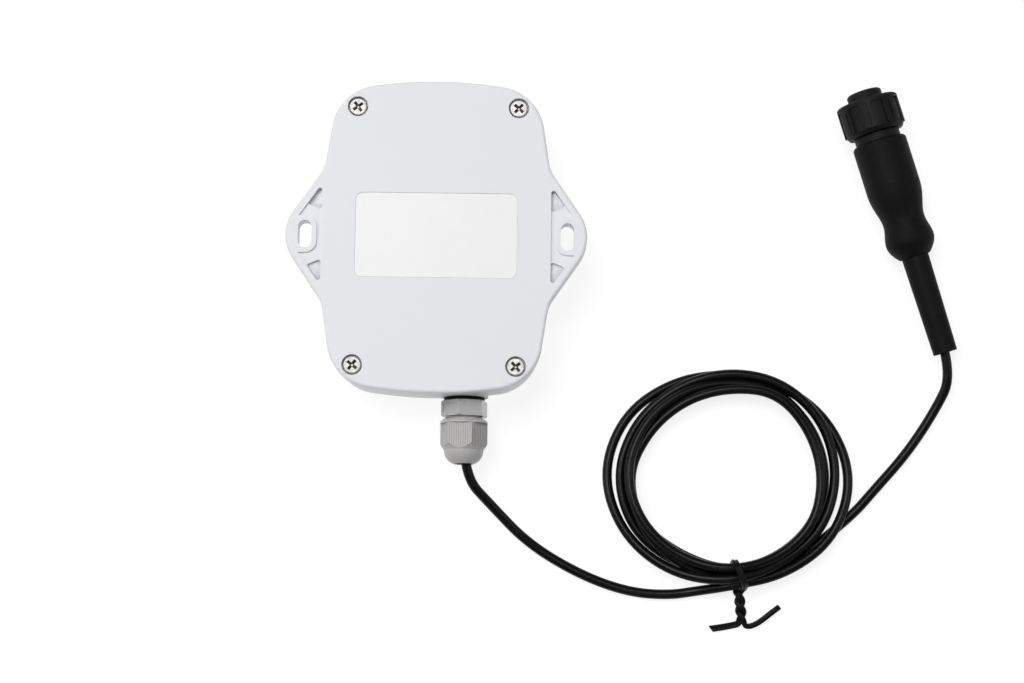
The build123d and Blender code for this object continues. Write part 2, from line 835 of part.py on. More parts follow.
with BuildPart() as coupling_ring:
    with BuildSketch(plug_side):
        with BuildLine():
            Polyline(
                (ring_start, ring_thread_radius),
                (ring_start, ring_radius - ring_front_chamfer),
                (ring_start + ring_front_chamfer, ring_radius),
                (grip_start, ring_radius),
                (grip_start, ring_radius - grip_height),
                (grip_end, ring_radius - grip_height),
                (ring_end, ring_radius - ring_rear_chamfer),
                (ring_end, neck_radius + turning_gap),
                (ring_end - ring_lip, neck_radius + turning_gap),
                (ring_end - ring_lip, ring_thread_radius),
                close=True,
            )
        make_face()
    revolve(axis=plug_axis)
    add(ring_grips.part)
    with BuildSketch(*[plane.offset(2 * grip_height - grip_groove_depth) for plane in grip_planes]):
        with Locations((grip_groove_margin, grip_groove_offset)):
            Rectangle(
                grip_end - grip_start - 2 * grip_groove_margin,
                grip_groove_width,
                align=(Align.MIN, Align.CENTER),
            )
    extrude(amount=grip_groove_depth + overrun, mode=Mode.SUBTRACT)
finish(coupling_ring, "coupling_ring")

# Heat-shrink boot over the rear of the plug body
with BuildPart() as heat_shrink_boot:
    with BuildSketch(plug_side):
        with BuildLine():
            Line(
                (boot_start, boot_inner_radius),
                (boot_start, boot_front_radius - boot_edge_radius),
            )
            TangentArc(
                (boot_start + boot_edge_radius, boot_front_radius),
                (boot_start, boot_front_radius - boot_edge_radius),
                tangent=(-1, 0),
            )
            Line(
                (boot_start + boot_edge_radius, boot_front_radius),
                (boot_front_end, boot_front_radius),
            )
            Spline(
                (boot_front_end, boot_front_radius),
                (boot_waist, boot_waist_radius),
                (boot_bulge, boot_bulge_radius),
                (boot_end, sleeve_front_radius + boot_wall / 2),
                tangents=((1, 0), (1, -1)),
            )
            Line((boot_end, sleeve_front_radius + boot_wall / 2), (boot_end, 0))
            Line((boot_end, 0), (boot_start, 0))
            Line((boot_start, 0), (boot_start, boot_inner_radius))
        make_face()
    revolve(axis=plug_axis)
    add(plug_body.part, mode=Mode.SUBTRACT)
    with BuildSketch(plug_section(sleeve_start)):
        Circle(sleeve_front_radius + slip_gap)
    extrude(amount=plug_length, mode=Mode.SUBTRACT)
finish(heat_shrink_boot, "heat_shrink_boot")

# Slender sleeve between the boot and the cable
with BuildPart() as strain_sleeve:
    with BuildSketch(plug_side):
        with BuildLine():
            Polyline(
                (sleeve_start, 0),
                (sleeve_start, sleeve_front_radius),
                (boot_end, sleeve_front_radius),
                (plug_length, sleeve_end_radius),
                (plug_length, 0),
                close=True,
            )
        make_face()
    revolve(axis=plug_axis)
    with BuildSketch(plug_section(plug_length - sleeve_bore_depth)):
        Circle(cable_radius + slip_gap)
    extrude(amount=sleeve_bore_depth + overrun, mode=Mode.SUBTRACT)
finish(strain_sleeve, "strain_sleeve")

# Cable from the gland to the coil, and from the coil to the plug
tail_start = plug_tip + plug_along * (plug_length - sleeve_bore_depth)
tail_turn = plug_tip + plug_along * (plug_length + plug_exit_run)
lead_points = [
    (10.0, -64.5, 13.0),
    (10.0, -78.5, 13.0),
    (19.8, -88.3, 6.0),
    (32.0, -100.0, 1.65),
    (49.0, -109.9, 1.65),
    (65.0, -115.6, 1.65),
    (79.0, -116.6, 1.65),
    (90.5, -114.7, 2.0),
]
tail_points = [
    (141.2, -89.7, 2.0),
    (148.6, -81.2, 1.65),
    (160.2, -68.2, 1.65),
    (169.9, -53.6, 1.9),
    tuple(tail_turn),
    tuple(tail_start),
]

cable_lead = tube_along(lead_points, cable_radius)
finish(cable_lead, "cable_lead")
cable_tail = tube_along(tail_points, cable_radius)
finish(cable_tail, "cable_tail")

# Straight end of the cable through the gland and into the housing
inlet_length = jacket_end - lead_points[0][1]
with BuildPart() as cable_inlet:
    with BuildSketch(gland_wall_plane.offset(-gland_thread_inside - jacket_end_inside)):
        Circle(cable_radius)
    extrude(amount=inlet_length)
finish(cable_inlet, "cable_inlet")

# Coil: the outer shape of the bundle of turns, with the stub where each end leaves it
tie_lean_turn = math.radians(tie_lean)
tie_outward = Vector(math.sin(tie_lean_turn), -math.cos(tie_lean_turn), 0)
tie_plane = Plane(
    origin=(tie_x, tie_y, 0),
    x_dir=tie_outward,
    z_dir=tie_outward.cross(Vector(0, 0, 1)),
)
lead_join = Vector(*lead_points[-1])
lead_heading = (lead_join - Vector(*lead_points[-2])).normalized()
tail_join = Vector(*tail_points[0])
tail_heading = (tail_join - Vector(*tail_points[1])).normalized()
stub_length = (coil_length - coil_hole_length) / 2
with BuildPart() as cable_coil:
    with BuildSketch():
        with Locations((coil_x, coil_y)):
            Ellipse(coil_length / 2, coil_width / 2)
        with Locations((coil_hole_x, coil_hole_y)):
            Ellipse(coil_hole_length / 2, coil_hole_width / 2, mode=Mode.SUBTRACT)
    extrude(amount=coil_height)
    outer_top = cable_coil.edges().group_by(Axis.Z)[-1].sort_by(SortBy.LENGTH)[-1]
    fillet(outer_top, coil_shoulder_radius)
    inner_top = cable_coil.edges().group_by(Axis.Z)[-1].sort_by(SortBy.LENGTH)[0]
    fillet([inner_top] + cable_coil.edges().group_by(Axis.Z)[0], coil_edge_radius)
    with BuildSketch(Plane(origin=lead_join, z_dir=lead_heading)):
        Circle(cable_radius)
    extrude(amount=stub_length)
    with BuildSketch(Plane(origin=tail_join, z_dir=tail_heading)):
        Circle(cable_radius)
    extrude(amount=stub_length)
    # The turns part where the tie passes under them
    with BuildSketch(tie_plane):
        Rectangle(
            tie_loop_width + 2 * tie_radius + 2 * overrun,
            2 * tie_radius + tie_loop_gap,
            align=(Align.CENTER, Align.MIN),
        )
    extrude(amount=tie_radius + tie_loop_gap, both=True, mode=Mode.SUBTRACT)
finish(cable_coil, "cable_coil")

# Wire tie: a loop over the bundle, a twisted stem and two loose ends
tie_foot = Vector(tie_x, tie_y, 0)
loop_top = coil_height + tie_loop_gap + tie_radius
loop_half = tie_loop_width / 2
stem_turn = math.radians(tie_stem_lean)
stem_heading = Vector(math.sin(stem_turn), -math.cos(stem_turn), 0)
stem_start = tie_foot + tie_outward * loop_half + Vector(0, 0, tie_stem_radius + tie_radius)
stem_end = stem_start + stem_heading * tie_stem_length
stem_plane = Plane(origin=stem_start, x_dir=(0, 0, 1), z_dir=stem_heading)
short_end_shares = [(0.06, 0.10), (-0.36, -0.12), (-1.00, -0.26)]
long_end_shares = [(-0.05, 0.09), (0.13, -0.15), (0.56, -0.02), (1.00, 0.38)]


def tie_end_points(shares, reach):
    """The route of a loose end, which drops from the stem to lie on the floor."""
    drops = [0] + [-tie_stem_radius] * (len(shares) - 1)
    return [
        tuple(stem_end + Vector(x * reach, y * reach, drop)) for (x, y), drop in zip(shares, drops)
    ]


with BuildSketch(stem_plane) as stem_section:
    with GridLocations(2 * tie_stem_radius, 0, 2, 1):
        Circle(tie_radius)
stem = Solid.extrude_linear_with_rotation(
    stem_section.sketch.face(),
    center=stem_start,
    normal=stem_heading * tie_stem_length,
    angle=360 * tie_stem_length / tie_stem_pitch,
)
short_end = tube_along(tie_end_points(short_end_shares, tie_short_reach), tie_radius)
long_end = tube_along(tie_end_points(long_end_shares, tie_long_reach), tie_radius)
with BuildPart() as twist_tie:
    with BuildSketch(tie_plane):
        with Locations((0, (loop_top + tie_radius) / 2)):
            RectangleRounded(
                2 * (loop_half + tie_radius),
                loop_top + tie_radius,
                tie_loop_corner + tie_radius,
            )
            RectangleRounded(
                2 * (loop_half - tie_radius),
                loop_top - 3 * tie_radius,
                tie_loop_corner - tie_radius,
                mode=Mode.SUBTRACT,
            )
    extrude(amount=tie_radius, both=True)
    fillet(twist_tie.edges(), tie_edge_radius)
    add(stem)
    add(short_end.part)
    add(long_end.part)
finish(twist_tie, "twist_tie")

# Circuit board on its four posts
with BuildPart() as circuit_board:
    with BuildSketch(Plane.XY.offset(board_height)):
        with Locations((board_x, board_y)):
            RectangleRounded(board_width, board_length, board_corner_radius)
        with Locations(*post_points):
            Circle(board_hole_radius, mode=Mode.SUBTRACT)
    extrude(amount=board_thickness)
finish(circuit_board, "circuit_board")

with BuildPart() as board_screws:
    with BuildSketch(Plane.XY.offset(board_top_face)):
        with Locations(*post_points):
            Circle(board_screw_head_radius)
    extrude(amount=board_screw_head_height)
    with BuildSketch(Plane.XY.offset(board_top_face)):
        with Locations(*post_points):
            Circle(board_screw_radius - slip_gap)
    extrude(amount=-board_screw_length + slip_gap)
finish(board_screws, "board_screws")

# Radio module with its screening can
with BuildPart() as radio_module:
    with BuildSketch(Plane.XY.offset(board_top_face)):
        with Locations((module_x, module_y)):
            Rectangle(module_width, module_length)
    extrude(amount=module_base)
    with BuildSketch(Plane.XY.offset(board_top_face + module_base)):
        with Locations((module_x, module_y)):
            Rectangle(module_width - 2 * module_can_inset, module_length - 2 * module_can_inset)
    extrude(amount=module_can_height)
    fillet(radio_module.edges().group_by(Axis.Z)[-1], module_base / 2)
finish(radio_module, "radio_module")

# Stamped antenna: a raised bar on an earth leg and a feed leg
with BuildPart() as antenna:
    with BuildSketch(Plane.XZ.offset(-antenna_y)):
        with Locations((antenna_x, board_top_face + antenna_height)):
            Rectangle(antenna_length, antenna_bar, align=(Align.MIN, Align.MAX))
        with Locations(
            (antenna_x, board_top_face),
            (antenna_x + antenna_feed, board_top_face),
        ):
            Rectangle(antenna_leg, antenna_height, align=(Align.MIN, Align.MIN))
    extrude(amount=antenna_thickness)
finish(antenna, "antenna")

# Battery cell in the shell's saddles
with BuildPart() as battery_cell:
    with BuildSketch(Plane.XZ.offset(-battery_foot)):
        with Locations((battery_x, battery_z)):
            Circle(battery_radius)
    extrude(amount=-battery_length)
    fillet(battery_cell.edges(), battery_bead)
    with BuildSketch(Plane.XZ.offset(-battery_foot - battery_length)):
        with Locations((battery_x, battery_z)):
            Circle(battery_cap_radius)
    extrude(amount=-battery_cap_height)
finish(battery_cell, "battery_cell")

# Header that the battery's lead plugs into
with BuildPart() as battery_plug:
    with BuildSketch(Plane.XY.offset(board_top_face)):
        with Locations((battery_plug_x, battery_plug_y)):
            Rectangle(battery_plug_width, battery_plug_length)
    extrude(amount=battery_plug_height)
finish(battery_plug, "battery_plug")


battery_end = battery_foot + battery_length
plug_wire_y = battery_plug_y + battery_plug_length / 2
plug_wire_z = board_top_face + battery_plug_height / 2
plug_wire_gap = battery_plug_width / 4
red_y = battery_end + battery_cap_height + battery_wire_reach
black_y = red_y + battery_wire_spacing
black_z = battery_z + battery_radius * 2 / 3
red_wire = [
    (battery_x, battery_end + battery_cap_height, battery_z),
    (battery_x, red_y, battery_z),
    (battery_plug_x - plug_wire_gap, red_y, plug_wire_z),
    (battery_plug_x - plug_wire_gap, plug_wire_y, plug_wire_z),
]
black_wire = [
    (battery_x, battery_end, black_z),
    (battery_x, black_y, black_z),
    (battery_plug_x + plug_wire_gap, black_y, plug_wire_z),
    (battery_plug_x + plug_wire_gap, plug_wire_y, plug_wire_z),
]
battery_wires = [tube_along(points, battery_wire_radius).part for points in (red_wire, black_wire)]
with BuildPart() as battery_lead:
    add(battery_wires)
finish(battery_lead, "battery_lead")

# Terminal block for the cable's cores
block_width = block_ways * block_pitch + 2 * block_end_wall
block_mouth_y = block_y - block_depth / 2
block_mouth_z = board_top_face + block_height / 2
way_x = [gland_x + (way - (block_ways - 1) / 2) * block_pitch for way in range(block_ways)]
block_top = board_top_face + block_height
with BuildPart() as terminal_block:
    with BuildSketch(Plane.XY.offset(board_top_face)):
        with Locations((gland_x, block_y)):
            Rectangle(block_width, block_depth)
    extrude(amount=block_height)
    with BuildSketch(Plane.XY.offset(block_top)):
        with Locations(*[(x, block_y) for x in way_x]):
            Circle(block_screw_radius + slip_gap)
    extrude(amount=-2 * block_screw_depth, mode=Mode.SUBTRACT)
    with BuildSketch(Plane.XZ.offset(-block_mouth_y)):
        with Locations(*[(x, block_mouth_z) for x in way_x]):
            Circle(block_mouth_radius)
    extrude(amount=-block_depth / 2, mode=Mode.SUBTRACT)
finish(terminal_block, "terminal_block")

with BuildPart() as terminal_screws:
    with BuildSketch(Plane.XY.offset(block_top - 2 * block_screw_depth)):
        with Locations(*[(x, block_y) for x in way_x]):
            Circle(block_screw_radius)
    extrude(amount=block_screw_depth)
    with BuildSketch(Plane.XY.offset(block_top - block_screw_depth)):
        with Locations(*[(x, block_y) for x in way_x]):
            Rectangle(2 * block_screw_radius + overrun, block_screw_slot)
    extrude(amount=-block_screw_slot, mode=Mode.SUBTRACT)
finish(terminal_screws, "terminal_screws")

# Cores of the cable, from where its jacket ends to the terminal block
cores = []
for way, x in enumerate(way_x):
    core_x = gland_x + (way - (block_ways - 1) / 2) * core_spacing
    core_points = [
        (core_x, jacket_end, gland_z),
        (core_x, jacket_end + core_exit, gland_z),
        (x, block_mouth_y - core_exit, block_mouth_z + core_radius),
        (x, block_mouth_y + core_radius, block_mouth_z),
    ]
    cores.append(tube_along(core_points, core_radius).part)
with BuildPart() as core_wires:
    add(cores)
finish(core_wires, "core_wires")

# Status light
with BuildPart() as status_led:
    with BuildSketch(Plane.XY.offset(board_top_face)):
        with Locations((led_x, led_y)):
            Circle(led_radius + led_rim)
    extrude(amount=2 * led_rim)
    with BuildSketch(Plane.XY.offset(board_top_face)):
        with Locations((led_x, led_y)):
            Circle(led_radius)
    extrude(amount=led_height)
    fillet(status_led.edges().group_by(Axis.Z)[-1], led_radius * 2 / 3)
finish(status_led, "status_led")

# Places that the joint and the mounts stand on
for name, distance in (
    ("ring middle", ring_start + ring_length / 2),
    ("barrel middle", barrel_lip + barrel_land / 2),
    ("thread middle", ring_start + (ring_length - ring_lip) / 2),
):
    print(name, [round(value, 4) for value in tuple(plug_tip + plug_along * distance)])
print("plug axis", [round(value, 6) for value in tuple(plug_along)])
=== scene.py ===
"""Looks of a wall-mounted leak sensor whose coiled lead ends in a round waterproof plug.

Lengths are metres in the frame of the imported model: the housing lies on its front face with
its middle over the origin, X runs across the two ears and Y away from the cable gland.
"""
from __future__ import annotations

import logging
import math
from dataclasses import dataclass, field
from enum import Enum

import bmesh
import bpy
from mathutils import Matrix, Vector


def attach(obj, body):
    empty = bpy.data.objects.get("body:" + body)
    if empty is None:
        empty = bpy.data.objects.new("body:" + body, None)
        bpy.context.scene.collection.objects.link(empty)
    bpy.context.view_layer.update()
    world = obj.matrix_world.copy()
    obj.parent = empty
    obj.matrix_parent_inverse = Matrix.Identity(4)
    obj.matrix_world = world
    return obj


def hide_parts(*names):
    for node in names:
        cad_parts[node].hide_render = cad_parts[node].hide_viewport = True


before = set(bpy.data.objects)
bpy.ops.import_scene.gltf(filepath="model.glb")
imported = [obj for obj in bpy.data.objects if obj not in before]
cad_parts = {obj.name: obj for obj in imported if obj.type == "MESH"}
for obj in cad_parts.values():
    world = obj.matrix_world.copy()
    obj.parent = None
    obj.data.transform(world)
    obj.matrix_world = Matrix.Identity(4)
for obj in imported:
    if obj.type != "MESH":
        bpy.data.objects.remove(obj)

log = logging.getLogger("leak_sensor")
MM = 0.001
SENSOR = "sensor"
RING = "ring"
WELD = 1e-7  # points nearer to each other than this are one
NOISE_RANGE = (0.25, 0.75)  # most of a noise's strength lies between these
Colour = tuple[float, float, float]


def mm(*values: float) -> tuple[float, ...]:
    """Millimetres as metres."""
    return tuple(value * MM for value in values)


# Finishes


class Grain(Enum):
    """The kinds of surface texture that the parts are made with."""

    SPARK_ERODED = "fine pits of a spark-eroded mould"
    POLISHED = "slight waviness of a polished mould"
    DRAWN = "fine lines along a drawn or extruded length"
    CAST = "soft lumps of moulded rubber"


class NodeSheet:
    """The node tree of one material, with a short call for each kind of node in use."""

    def __init__(self, name: str, tone: Colour) -> None:
        """Start a material.

        Args:
            name: name of the material
            tone: its colour in the plain viewport
        """
        self.material = bpy.data.materials.new(name)
        self.material.use_nodes = True
        self.material.diffuse_color = (*tone, 1.0)
        self.nodes = self.material.node_tree.nodes
        self.links = self.material.node_tree.links
        self.shader = self.nodes["Principled BSDF"]
        self.place = self.nodes.new("ShaderNodeTexCoord").outputs["Object"]

    def constant(self, socket: str, value: float) -> None:
        """Set a number on the shader's own socket."""
        self.shader.inputs[socket].default_value = value

    def feed(self, socket: str, source: bpy.types.NodeSocket) -> None:
        """Lead a result into one of the shader's sockets."""
        self.links.new(source, self.shader.inputs[socket])

    def _put(self, target: bpy.types.NodeSocket,
             value: bpy.types.NodeSocket | float | Colour) -> None:
        """Link a socket to another, or set it to a plain value."""
        if isinstance(value, bpy.types.NodeSocket):
            self.links.new(value, target)
        elif isinstance(value, tuple) and len(value) == 3 and target.type == "RGBA":
            target.default_value = (*value, 1.0)
        else:
            target.default_value = value

    def framed(self, origin: tuple[float, ...] = (0, 0, 0), turn: tuple[float, ...] = (0, 0, 0),
               stretch: tuple[float, ...] = (1, 1, 1)) -> bpy.types.NodeSocket:
        """Object coordinates as seen from a frame of their own.

        Args:
            origin: where the frame stands
            turn: how it is turned, as XYZ angles
            stretch: how many times longer the pattern is along each of its axes

        Returns:
            The coordinates in that frame.
        """
        node = self.nodes.new("ShaderNodeMapping")
        node.vector_type = "TEXTURE"
        node.inputs["Location"].default_value = origin
        node.inputs["Rotation"].default_value = turn
        node.inputs["Scale"].default_value = stretch
        self.links.new(self.place, node.inputs["Vector"])
        return node.outputs["Vector"]

    def noise(self, place: bpy.types.NodeSocket, size: float,
              detail: float = 2.0) -> bpy.types.NodeSocket:
        """Cloudy noise.

        Args:
            place: coordinates that it follows
            size: width of one patch
            detail: how many finer layers it has

        Returns:
            Its strength from 0 to 1.
        """
        node = self.nodes.new("ShaderNodeTexNoise")
        node.inputs["Scale"].default_value = 1 / size
        node.inputs["Detail"].default_value = detail
        self.links.new(place, node.inputs["Vector"])
        return node.outputs["Fac"]

    def axis(self, place: bpy.types.NodeSocket, name: str) -> bpy.types.NodeSocket:
        """One of the X, Y and Z parts of a place."""
        node = self.nodes.new("ShaderNodeSeparateXYZ")
        self.links.new(place, node.inputs["Vector"])
        return node.outputs[name]

    def maths(self, kind: str, first: bpy.types.NodeSocket | float,
              second: bpy.types.NodeSocket | float = 0.0) -> bpy.types.NodeSocket:
        """One sum, product, comparison or the like."""
        node = self.nodes.new("ShaderNodeMath")
        node.operation = kind
        self._put(node.inputs[0], first)
        self._put(node.inputs[1], second)
        return node.outputs["Value"]

    def span(self, value: bpy.types.NodeSocket, low: float, high: float,
             start: float, end: float) -> bpy.types.NodeSocket:
        """Carry a range of numbers over to another, and hold it there.

        Args:
            value: the number that is carried over
            low: where the first range starts
            high: where the first range ends
            start: result at its start
            end: result at its end

        Returns:
            The new number.
        """
        node = self.nodes.new("ShaderNodeMapRange")
        for name, number in (("From Min", low), ("From Max", high), ("To Min", start),
                             ("To Max", end)):
            node.inputs[name].default_value = number
        self.links.new(value, node.inputs["Value"])
        return node.outputs["Result"]

    def blend(self, share: bpy.types.NodeSocket, first: bpy.types.NodeSocket | Colour,
              second: bpy.types.NodeSocket | Colour) -> bpy.types.NodeSocket:
        """Mix two colours.

        Args:
            share: how much of the second shows
            first: colour at share 0
            second: colour at share 1

        Returns:
            The mixed colour.
        """
        node = self.nodes.new("ShaderNodeMix")
        node.data_type = "RGBA"
        self.links.new(share, node.inputs["Factor"])
        self._put(node.inputs["A"], first)
        self._put(node.inputs["B"], second)
        return node.outputs["Result"]

    def bump(self, height: bpy.types.NodeSocket, depth: float,
             under: bpy.types.NodeSocket | None = None) -> bpy.types.NodeSocket:
        """Raise the surface by a height from 0 to 1.

        Args:
            height: how high each point stands
            depth: what a height of 1 is in metres
            under: a coarser relief that this one lies on

        Returns:
            The surface's new direction.
        """
        node = self.nodes.new("ShaderNodeBump")
        node.inputs["Distance"].default_value = depth
        self.links.new(height, node.inputs["Height"])
        if under is not None:
            self.links.new(under, node.inputs["Normal"])
        return node.outputs["Normal"]


@dataclass(frozen=True)
class Finish:
    """One finish, made as a procedural material.

    Attributes:
        name: plain name of the finish
        tone: linear colour of most of the surface
        second_tone: colour that drifts through it
        roughness: usual roughness
        roughness_drift: how far the roughness wanders either way
        grain: kind of surface texture
        grain_size: width of one grain
        grain_depth: height of one grain
        metallic: 1 for bare metal
        gloss: strength of the mirror part, 0.5 for most plastics
        coat: strength of a clear skin
        coat_roughness: roughness of that skin
        drift_size: width of the slow colour patches
        drift_share: how much of the colour's change they make, against the fine flicker
        stretch: how much longer a drawn grain is than wide, along each axis
    """

    name: str
    tone: Colour
    second_tone: Colour
    roughness: float = 0.5
    roughness_drift: float = 0.05
    grain: Grain = Grain.POLISHED
    grain_size: float = 0.0004
    grain_depth: float = 0.00002
    metallic: float = 0.0
    gloss: float = 0.5
    coat: float = 0.0
    coat_roughness: float = 0.1
    drift_size: float = 0.02
    drift_share: float = 0.7
    stretch: tuple[float, ...] = (1.0, 1.0, 1.0)

    def material(self) -> bpy.types.Material:
        """Make the material, or give back the one that is already there.

        Returns:
            The material with its node tree.
        """
        own_name = f"{self.name}_finish"
        ready = bpy.data.materials.get(own_name)
        if ready is None:
            sheet = NodeSheet(own_name, self.tone)
            sheet.constant("Metallic", self.metallic)
            sheet.constant("Specular IOR Level", self.gloss)
            sheet.constant("Coat Weight", self.coat)
            sheet.constant("Coat Roughness", self.coat_roughness)
            sheet.feed("Base Color", self.colour(sheet))
            sheet.feed("Roughness", self.dullness(sheet))
            sheet.feed("Normal", self.relief(sheet))
            ready = sheet.material
        return ready

    def colour(self, sheet: NodeSheet) -> bpy.types.NodeSocket:
        """Two close tones that drift slowly and flicker finely.

        Args:
            sheet: the material's nodes

        Returns:
            The colour.
        """
        slow = sheet.noise(sheet.place, self.drift_size, 3)
        fine = sheet.noise(sheet.place, 3 * self.grain_size, 1)
        share = sheet.maths("ADD", sheet.maths("MULTIPLY", slow, self.drift_share),
                            sheet.maths("MULTIPLY", fine, 1 - self.drift_share))
        return sheet.blend(share, self.tone, self.second_tone)

    def grains(self, sheet: NodeSheet) -> bpy.types.NodeSocket:
        """The height of the grain.

        Args:
            sheet: the material's nodes

        Returns:
            A height from 0 to 1.
        """
        if self.grain is Grain.DRAWN:
            return sheet.noise(sheet.framed(stretch=self.stretch), self.grain_size, 3)
        if self.grain is Grain.SPARK_ERODED:
            return sheet.noise(sheet.place, self.grain_size, 4)
        if self.grain is Grain.CAST:
            return sheet.noise(sheet.place, 2 * self.grain_size, 2)
        return sheet.noise(sheet.place, 4 * self.grain_size, 1)

    def dullness(self, sheet: NodeSheet) -> bpy.types.NodeSocket:
        """Roughness that wanders with the grain.

        Args:
            sheet: the material's nodes

        Returns:
            The roughness.
        """
        return sheet.span(sheet.noise(sheet.place, 6 * self.grain_size, 2), *NOISE_RANGE,
                          self.roughness - self.roughness_drift,
                          self.roughness + self.roughness_drift)

    def relief(self, sheet: NodeSheet) -> bpy.types.NodeSocket:
        """The surface's own fine relief.

        Args:
            sheet: the material's nodes

        Returns:
            The surface's direction.
        """
        return sheet.bump(self.grains(sheet), self.grain_depth)


@dataclass(frozen=True)
class ScrewSteel(Finish):
    """Bright steel of the four cover screws, turned in rings, with painted shade in the cross
    recess.

    Attributes:
        across: distance of each screw's axis from the middle, across the housing
        along: the same, along the housing
        rim: height of the head under which the recess takes painted shade
        recess_reach: how far the recess reaches from the axis
        ring_pitch: distance between two turning marks
        floor_reach: how far the bright floor of the recess reaches from the axis
        dark_reach: distance from the axis at which the painted shade is full
        recess_shade_tone: colour of the painted shade inside the recess
    """

    across: float = 0.027
    along: float = 0.0438
    rim: float = 0.02685
    recess_reach: float = 0.00215
    ring_pitch: float = 0.00022
    floor_reach: float = 0.00026
    dark_reach: float = 0.00039
    recess_shade_tone: Colour = (0.05, 0.045, 0.042)

    def reach(self, sheet: NodeSheet) -> bpy.types.NodeSocket:
        """Distance from the nearest screw's axis.

        Args:
            sheet: the material's nodes

        Returns:
            The distance.
        """
        x = sheet.maths("SUBTRACT", sheet.maths("ABSOLUTE", sheet.axis(sheet.place, "X")),
                        self.across)
        y = sheet.maths("SUBTRACT", sheet.maths("ABSOLUTE", sheet.axis(sheet.place, "Y")),
                        self.along)
        return sheet.maths("SQRT", sheet.maths("ADD", sheet.maths("MULTIPLY", x, x),
                                               sheet.maths("MULTIPLY", y, y)))

    def colour(self, sheet: NodeSheet) -> bpy.types.NodeSocket:
        """Bright steel with painted shade in the recess.

        Args:
            sheet: the material's nodes

        Returns:
            The colour.
        """
        low = sheet.maths("LESS_THAN", sheet.axis(sheet.place, "Z"), self.rim)
        near = sheet.maths("LESS_THAN", self.reach(sheet), self.recess_reach)
        aside = sheet.span(self.reach(sheet), self.floor_reach, self.dark_reach, 0, 1)
        # painted shade: the cross recess under the rim darkens outwards from its bright floor
        dark = sheet.maths("MULTIPLY", sheet.maths("MULTIPLY", low, near), aside)
        return sheet.blend(dark, super().colour(sheet), self.recess_shade_tone)

    def grains(self, sheet: NodeSheet) -> bpy.types.NodeSocket:
        """Turning marks round each screw.

        Args:
            sheet: the material's nodes

        Returns:
            A height from 0 to 1.
        """
        waves = sheet.maths("SINE", sheet.maths("MULTIPLY", self.reach(sheet),
                                                2 * math.pi / self.ring_pitch))
        return sheet.span(waves, -1, 1, 0, 1)


@dataclass(frozen=True)
class GroovedNylon(Finish):
    """Moulded nylon of the dome nut, with painted shade down in the grip grooves of its six flats.

    Attributes:
        axis_at: X and Z of the nut's axis
        flats: number of flats, an even one
        first_flat: angle round the axis that the first flat faces, in degrees from X
        flat_reach: distance from the axis under which a flat counts as groove
        floor_reach: distance from the axis of the grooves' floors
        groove_end: Y at which the grooves end before the dome
        groove_shade_tone: colour of the painted shade in the grooves
    """

    axis_at: tuple[float, float] = mm(10.0, 13.0)
    flats: int = 6
    first_flat: float = 40.0
    flat_reach: float = 0.00694
    floor_reach: float = 0.0067
    groove_end: float = -0.0694
    groove_shade_tone: Colour = (0.31, 0.303, 0.298)

    def colour(self, sheet: NodeSheet) -> bpy.types.NodeSocket:
        """Nylon with painted shade in the grooves.

        Args:
            sheet: the material's nodes

        Returns:
            The colour.
        """
        across = sheet.maths("SUBTRACT", sheet.axis(sheet.place, "X"), self.axis_at[0])
        up = sheet.maths("SUBTRACT", sheet.axis(sheet.place, "Z"), self.axis_at[1])
        reach: bpy.types.NodeSocket | float = 0.0
        for flat in range(self.flats // 2):
            angle = math.radians(self.first_flat + 360 / self.flats * flat)
            apart = sheet.maths("ADD", sheet.maths("MULTIPLY", across, math.cos(angle)),
                                sheet.maths("MULTIPLY", up, math.sin(angle)))
            reach = sheet.maths("MAXIMUM", sheet.maths("ABSOLUTE", apart), reach)
        under = sheet.maths("LESS_THAN", reach, self.flat_reach)
        over = sheet.maths("GREATER_THAN", reach, self.floor_reach)
        before = sheet.maths("GREATER_THAN", sheet.axis(sheet.place, "Y"), self.groove_end)
        # painted shade: darkens the groove floors on the flats before the dome
        inside = sheet.maths("MULTIPLY", sheet.maths("MULTIPLY", under, over), before)
        return sheet.blend(inside, super().colour(sheet), self.groove_shade_tone)


@dataclass(frozen=True)
class PlugPose:
    """Where the plug lies: its X axis runs from the tip back along the cable.

    Attributes:
        tip: middle of the plug's tip
        heading: compass angle of its axis in degrees
        tilt: degrees that the axis drops towards the cable
    """

    tip: tuple[float, ...] = mm(145.3, 55.2, 11.6)
    heading: float = -72.8
    tilt: float = 3.0

    def turn(self) -> Matrix:
        """The turn from the plug's own axes to the model's.

        Returns:
            A matrix of three by three.
        """
        heading, tilt = math.radians(self.heading), math.radians(self.tilt)
        along = Vector((math.cos(heading) * math.cos(tilt), math.sin(heading) * math.cos(tilt),
                        -math.sin(tilt)))
        across = Vector((-math.sin(heading), math.cos(heading), 0))
        return Matrix((along, across, along.cross(across))).transposed()

    def matrix(self) -> Matrix:
        """The turn and the place of the tip.

        Returns:
            A matrix of four by four.
        """
        return Matrix.Translation(Vector(self.tip)) @ self.turn().to_4x4()


PLUG_POSE = PlugPose()


